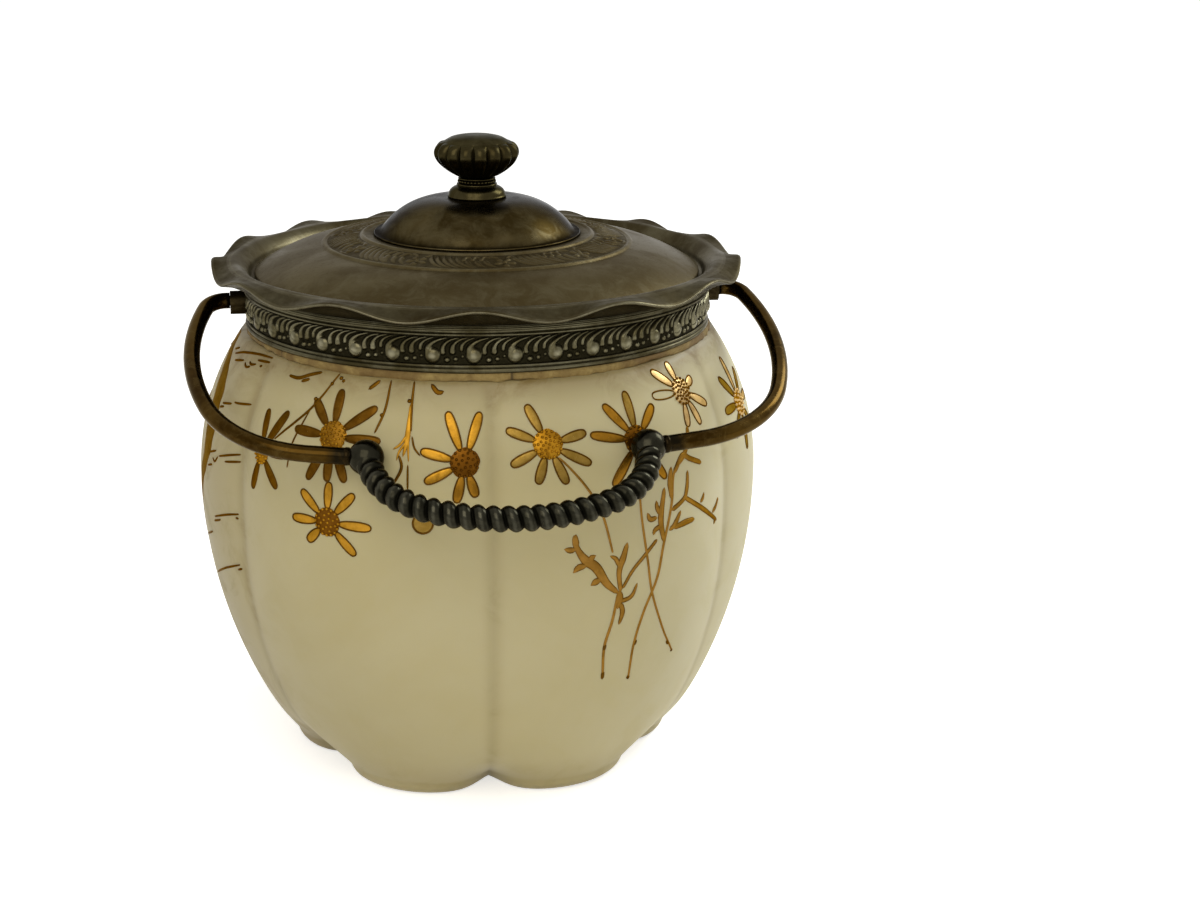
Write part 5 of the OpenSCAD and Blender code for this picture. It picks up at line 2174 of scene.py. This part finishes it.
    def dome(self) -> Object:
        """The raised middle on its narrow flange.

        Returns:
            The new object.
        """
        r, z, top = self.dome_r, self.dome_z, self.dome_top
        outer = bezier((r - 1.4, z + 0.8), (r - 7.6, top - 0.7), (self.stem_r, top), 40)
        profile = np.vstack([
            [[r - 3, z + 0.05], [r, z + 0.05]], arc((r - 0.05, z + 0.38), 0.33, -60, 110, 7), outer,
            [[5.0, top], [2.3, top], [2.3, top - self.sheet]],
            outer[::-4][:-1] - np.array([0.6, self.sheet])])
        lattice = lathe(profile, 288, closed=True)
        relief = lattice.hollows()
        # Darkens a band round the dome's foot: painted shade where the dome meets the plate
        relief[8:18] = np.minimum(relief[8:18], np.linspace(0.12, 0.5, 10)[:, None])
        piece = Piece("dome_sheet").add(lattice, relief=relief)
        return dress(piece, DOME_PLATE_DARK_REFLECTION, "lid", "lid_plate", "lid_dome")

    def build(self) -> None:
        """Builds and dresses the lid."""
        self.plate()
        self.dome()


@dataclass
class Finial:
    """The turned stem and the fluted knob."""

    dome_top: float = 165.3
    stem_h: float = 6.0
    knob_r: float = 12.4
    knob_h: float = 12.2
    flutes: int = 16
    beads: int = 32
    bead_r: float = 0.42
    bead_ring_r: float = 5.2
    stud_r: float = 2.0
    stud_end: float = 158.6

    def stem(self) -> Object:
        """The stem: a bell foot, a thin neck and the stud below.

        Returns:
            The new object.
        """
        z = self.dome_top + 0.05
        top = self.dome_top + self.stem_h
        profile = np.vstack([
            [[POLE_R, self.stud_end], [self.stud_r - 0.4, self.stud_end],
             [self.stud_r, self.stud_end + 0.4], [self.stud_r, z], [8.2, z]],
            arc((8.2, z + 0.35), 0.35, -60, 60, 5),
            bezier((8.3, z + 0.8), (8.0, z + 2.7), (5.7, z + 3.3), 16),
            arc((5.5, z + 3.7), 0.36, -60, 70, 7), [[5.0, z + 4.15], [4.95, top - 0.8]],
            arc((5.15, top - 0.55), 0.28, -60, 80, 5), [[POLE_R, top - 0.05]]])
        lattice = lathe(profile, 192)
        piece = Piece("turned_stem").add(lattice, relief=lattice.hollows())
        fall = np.radians(np.linspace(0, 180, 9))
        plane = np.broadcast_arrays(*rings(np.sin(fall), 12), np.cos(fall)[:, None])
        ball = self.bead_r * np.stack(plane, -1)
        for k in range(self.beads):
            around = 2 * math.pi * k / self.beads
            at = [self.bead_ring_r * math.cos(around), self.bead_ring_r * math.sin(around), z + 4.6]
            piece.add(Lattice(ball + np.array(at)), relief=0.6)
        return dress(piece, FINIAL_PLATE, "lid", "finial_plate", "finial_stem")

    def knob(self) -> Object:
        """The knob: rounded gadroons under a smooth low button.

        Returns:
            The new object.
        """
        even, rows, marks = turns(self.flutes * 20), [], []
        outline = spline((
            (5.1, 0.0), (6.4, 0.5), (9.1, 2.2), (11.4, 4.4), (12.35, 6.5), (12.1, 8.2), (11.0, 9.6),
            (9.6, 10.1), (8.9, 10.5), (7.4, 11.3), (4.0, 12.0), (0.1, 12.2)), 6)
        swell_at = np.interp(outline[:, 1], [0, 1.0, 3.6, 8.4, 9.7, 10.2, 12.2],
                             [0.1, 0.6, 1, 1, 0.75, 0, 0])
        ridge = np.abs(np.cos(np.radians(self.flutes * even / 2)))
        foot = self.dome_top + self.stem_h
        for (r, z), swell in zip(outline * [self.knob_r / 12.4, self.knob_h / 12.2], swell_at):
            valley = (1 - ridge ** 0.75) * swell
            rows.append(round_points(even, r - 1.5 * valley * min(1.0, r / 9), foot + z))
            marks.append(0.62 - 0.5 * valley + (0.06 if swell == 0 else 0))
        piece = Piece("fluted_knob").add(Lattice(np.stack(rows)), relief=np.stack(marks))
        return dress(piece, FINIAL_PLATE, "lid", "finial_plate", "finial_knob")

    def build(self) -> None:
        """Builds and dresses the finial."""
        self.stem()
        self.knob()


# ---- Pieces that keep their CAD form ----


def dress_kept_nodes() -> None:
    """Gives the CAD nodes that stay in view their finishes."""
    ears, plain, brass = EAR_PLATE.material(), PLAIN_PLATE.material(), FITTING_BRASS.material()
    kept = {"collar_sleeve": plain, "left_ear": ears, "right_ear": ears, "lid_skirt": plain,
            "finial_washer": brass, "finial_nut": brass}
    for name, material in kept.items():
        cover(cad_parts[name], material)
        log.info("%s: keeps its form", name)


# ---- The stage ----


@dataclass
class Stage:
    """The floor, the surround, the lamps and the camera."""

    distance: float = 0.650
    height: float = 0.27689
    yaw: float = 0.05571
    pitch: float = 0.28212
    roll: float = 0.00588
    turn: float = -6.0
    lens: float = 67.54
    floor_half: float = 4.0
    floor_glow: float = 0.62
    lit: float = 0.43

    def camera(self) -> Object:
        """Places the camera.

        Returns:
            The camera.
        """
        flat = math.cos(self.pitch)
        ahead = Vector((math.sin(self.yaw) * flat, math.cos(self.yaw) * flat,
                        -math.sin(self.pitch)))
        right = Vector((math.cos(self.yaw), -math.sin(self.yaw), 0))
        up = right.cross(ahead)
        level = math.cos(self.roll) * right + math.sin(self.roll) * up
        upright = -math.sin(self.roll) * right + math.cos(self.roll) * up
        turned = Matrix.Rotation(math.radians(self.turn), 4, "Z")
        basis = Matrix((level, upright, -ahead)).transposed().to_4x4()
        eye = bpy.data.objects.new("camera", bpy.data.cameras.new("camera"))
        eye.data.sensor_width = 36
        eye.data.lens = self.lens
        eye.data.clip_start = 0.01
        eye.matrix_world = turned @ Matrix.Translation((0, -self.distance, self.height)) @ basis
        bpy.context.scene.collection.objects.link(eye)
        bpy.context.scene.camera = eye
        return eye

    def lamp(self, name: str, azimuth: float, elevation: float, distance: float, size: float,
             watts: float,
             colour: tuple[float, float, float]) -> Object:
        """Places a square lamp that faces the jar.

        Args:
            name: The lamp's name.
            azimuth: Its angle round the jar.
            elevation: Its angle above the table.
            distance: Distance from the jar's middle in metres.
            size: Side of the lamp in metres.
            watts: Its power.
            colour: Its colour.

        Returns:
            The lamp.
        """
        data = bpy.data.lights.new(name, "AREA")
        data.shape = "SQUARE"
        data.size = size
        data.energy = watts
        data.color = colour
        a, e = math.radians(azimuth), math.radians(elevation)
        way = Vector((math.sin(a) * math.cos(e), -math.cos(a) * math.cos(e), math.sin(e)))
        made = bpy.data.objects.new(name, data)
        facing = way.to_track_quat("Z", "Y").to_matrix().to_4x4()
        made.matrix_world = Matrix.Translation(Vector((0, 0, 0.1)) + way * distance) @ facing
        bpy.context.scene.collection.objects.link(made)
        return made

    def floor(self) -> Object:
        """Lays the pale floor, which takes the jar's shadow.
        """
        mesh = bpy.data.meshes.new("floor")
        h = self.floor_half
        mesh.from_pydata([(-h, -h, 0), (h, -h, 0), (h, h, 0), (-h, h, 0)], [], [(0, 1, 2, 3)])
        made = bpy.data.objects.new("floor", mesh)
        bpy.context.scene.collection.objects.link(made)
        made.location.z = -0.0002
        material, graph, surface = shader("pale_floor", {
            "Metallic": 0.0, "Roughness": 0.9, "Base Color": (0.86, 0.86, 0.85, 1),
            "Emission Color": (1, 1, 1, 1)})
        path = graph.add("ShaderNodeLightPath")
        seen = graph.math("MAXIMUM", path.outputs["Is Camera Ray"], path.outputs["Is Glossy Ray"])
        graph.join(graph.scaled(seen, self.floor_glow), surface.inputs["Emission Strength"])
        made.data.materials.append(material)
        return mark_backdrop(made)

    def surround(self) -> None:
        """Makes the white surround, dimmer as a light than as a sight."""
        world = bpy.data.worlds.new("studio")
        world.use_nodes = True
        bpy.context.scene.world = world
        graph = Graph(world.node_tree)
        seen = world.node_tree.nodes["Background"]
        seen.inputs["Color"].default_value = (1, 1, 1, 1)
        seen.inputs["Strength"].default_value = 1.0
        lit = graph.add("ShaderNodeBackground")
        lit.inputs["Color"].default_value = (1.0, 0.97, 0.9, 1)
        lit.inputs["Strength"].default_value = self.lit
        path = graph.add("ShaderNodeLightPath")
        sight = graph.math("MAXIMUM", path.outputs["Is Camera Ray"], path.outputs["Is Glossy Ray"])
        sight = graph.math("MAXIMUM", sight, path.outputs["Is Transmission Ray"])
        mix = graph.add("ShaderNodeMixShader")
        graph.join(sight, mix.inputs[0])
        graph.join(lit.outputs[0], mix.inputs[1])
        graph.join(seen.outputs[0], mix.inputs[2])
        graph.join(mix.outputs[0], world.node_tree.nodes["World Output"].inputs["Surface"])

    def build(self) -> None:
        """Builds the stage."""
        bpy.context.scene.view_settings.view_transform = "Standard"
        self.camera()
        self.floor()
        self.surround()
        self.lamp("window", 112, 34, 1.1, 0.5, 7.0, (0.90, 0.95, 1.0))
        self.lamp("room", -20, 40, 1.5, 1.2, 9.5, (1.0, 0.95, 0.86))


def main() -> None:
    """Builds the jar's looks and its stage."""
    logging.basicConfig(level=logging.INFO, format="%(name)s %(message)s")
    Stage().build()
    bowl = MelonBowl()
    bowl.build()
    Gilding(bowl).build()
    Collar().build()
    ScallopedRim().build()
    Bail().build()
    Lid().build()
    Finial().build()
    dress_kept_nodes()


if __name__ == "__main__":
    main()
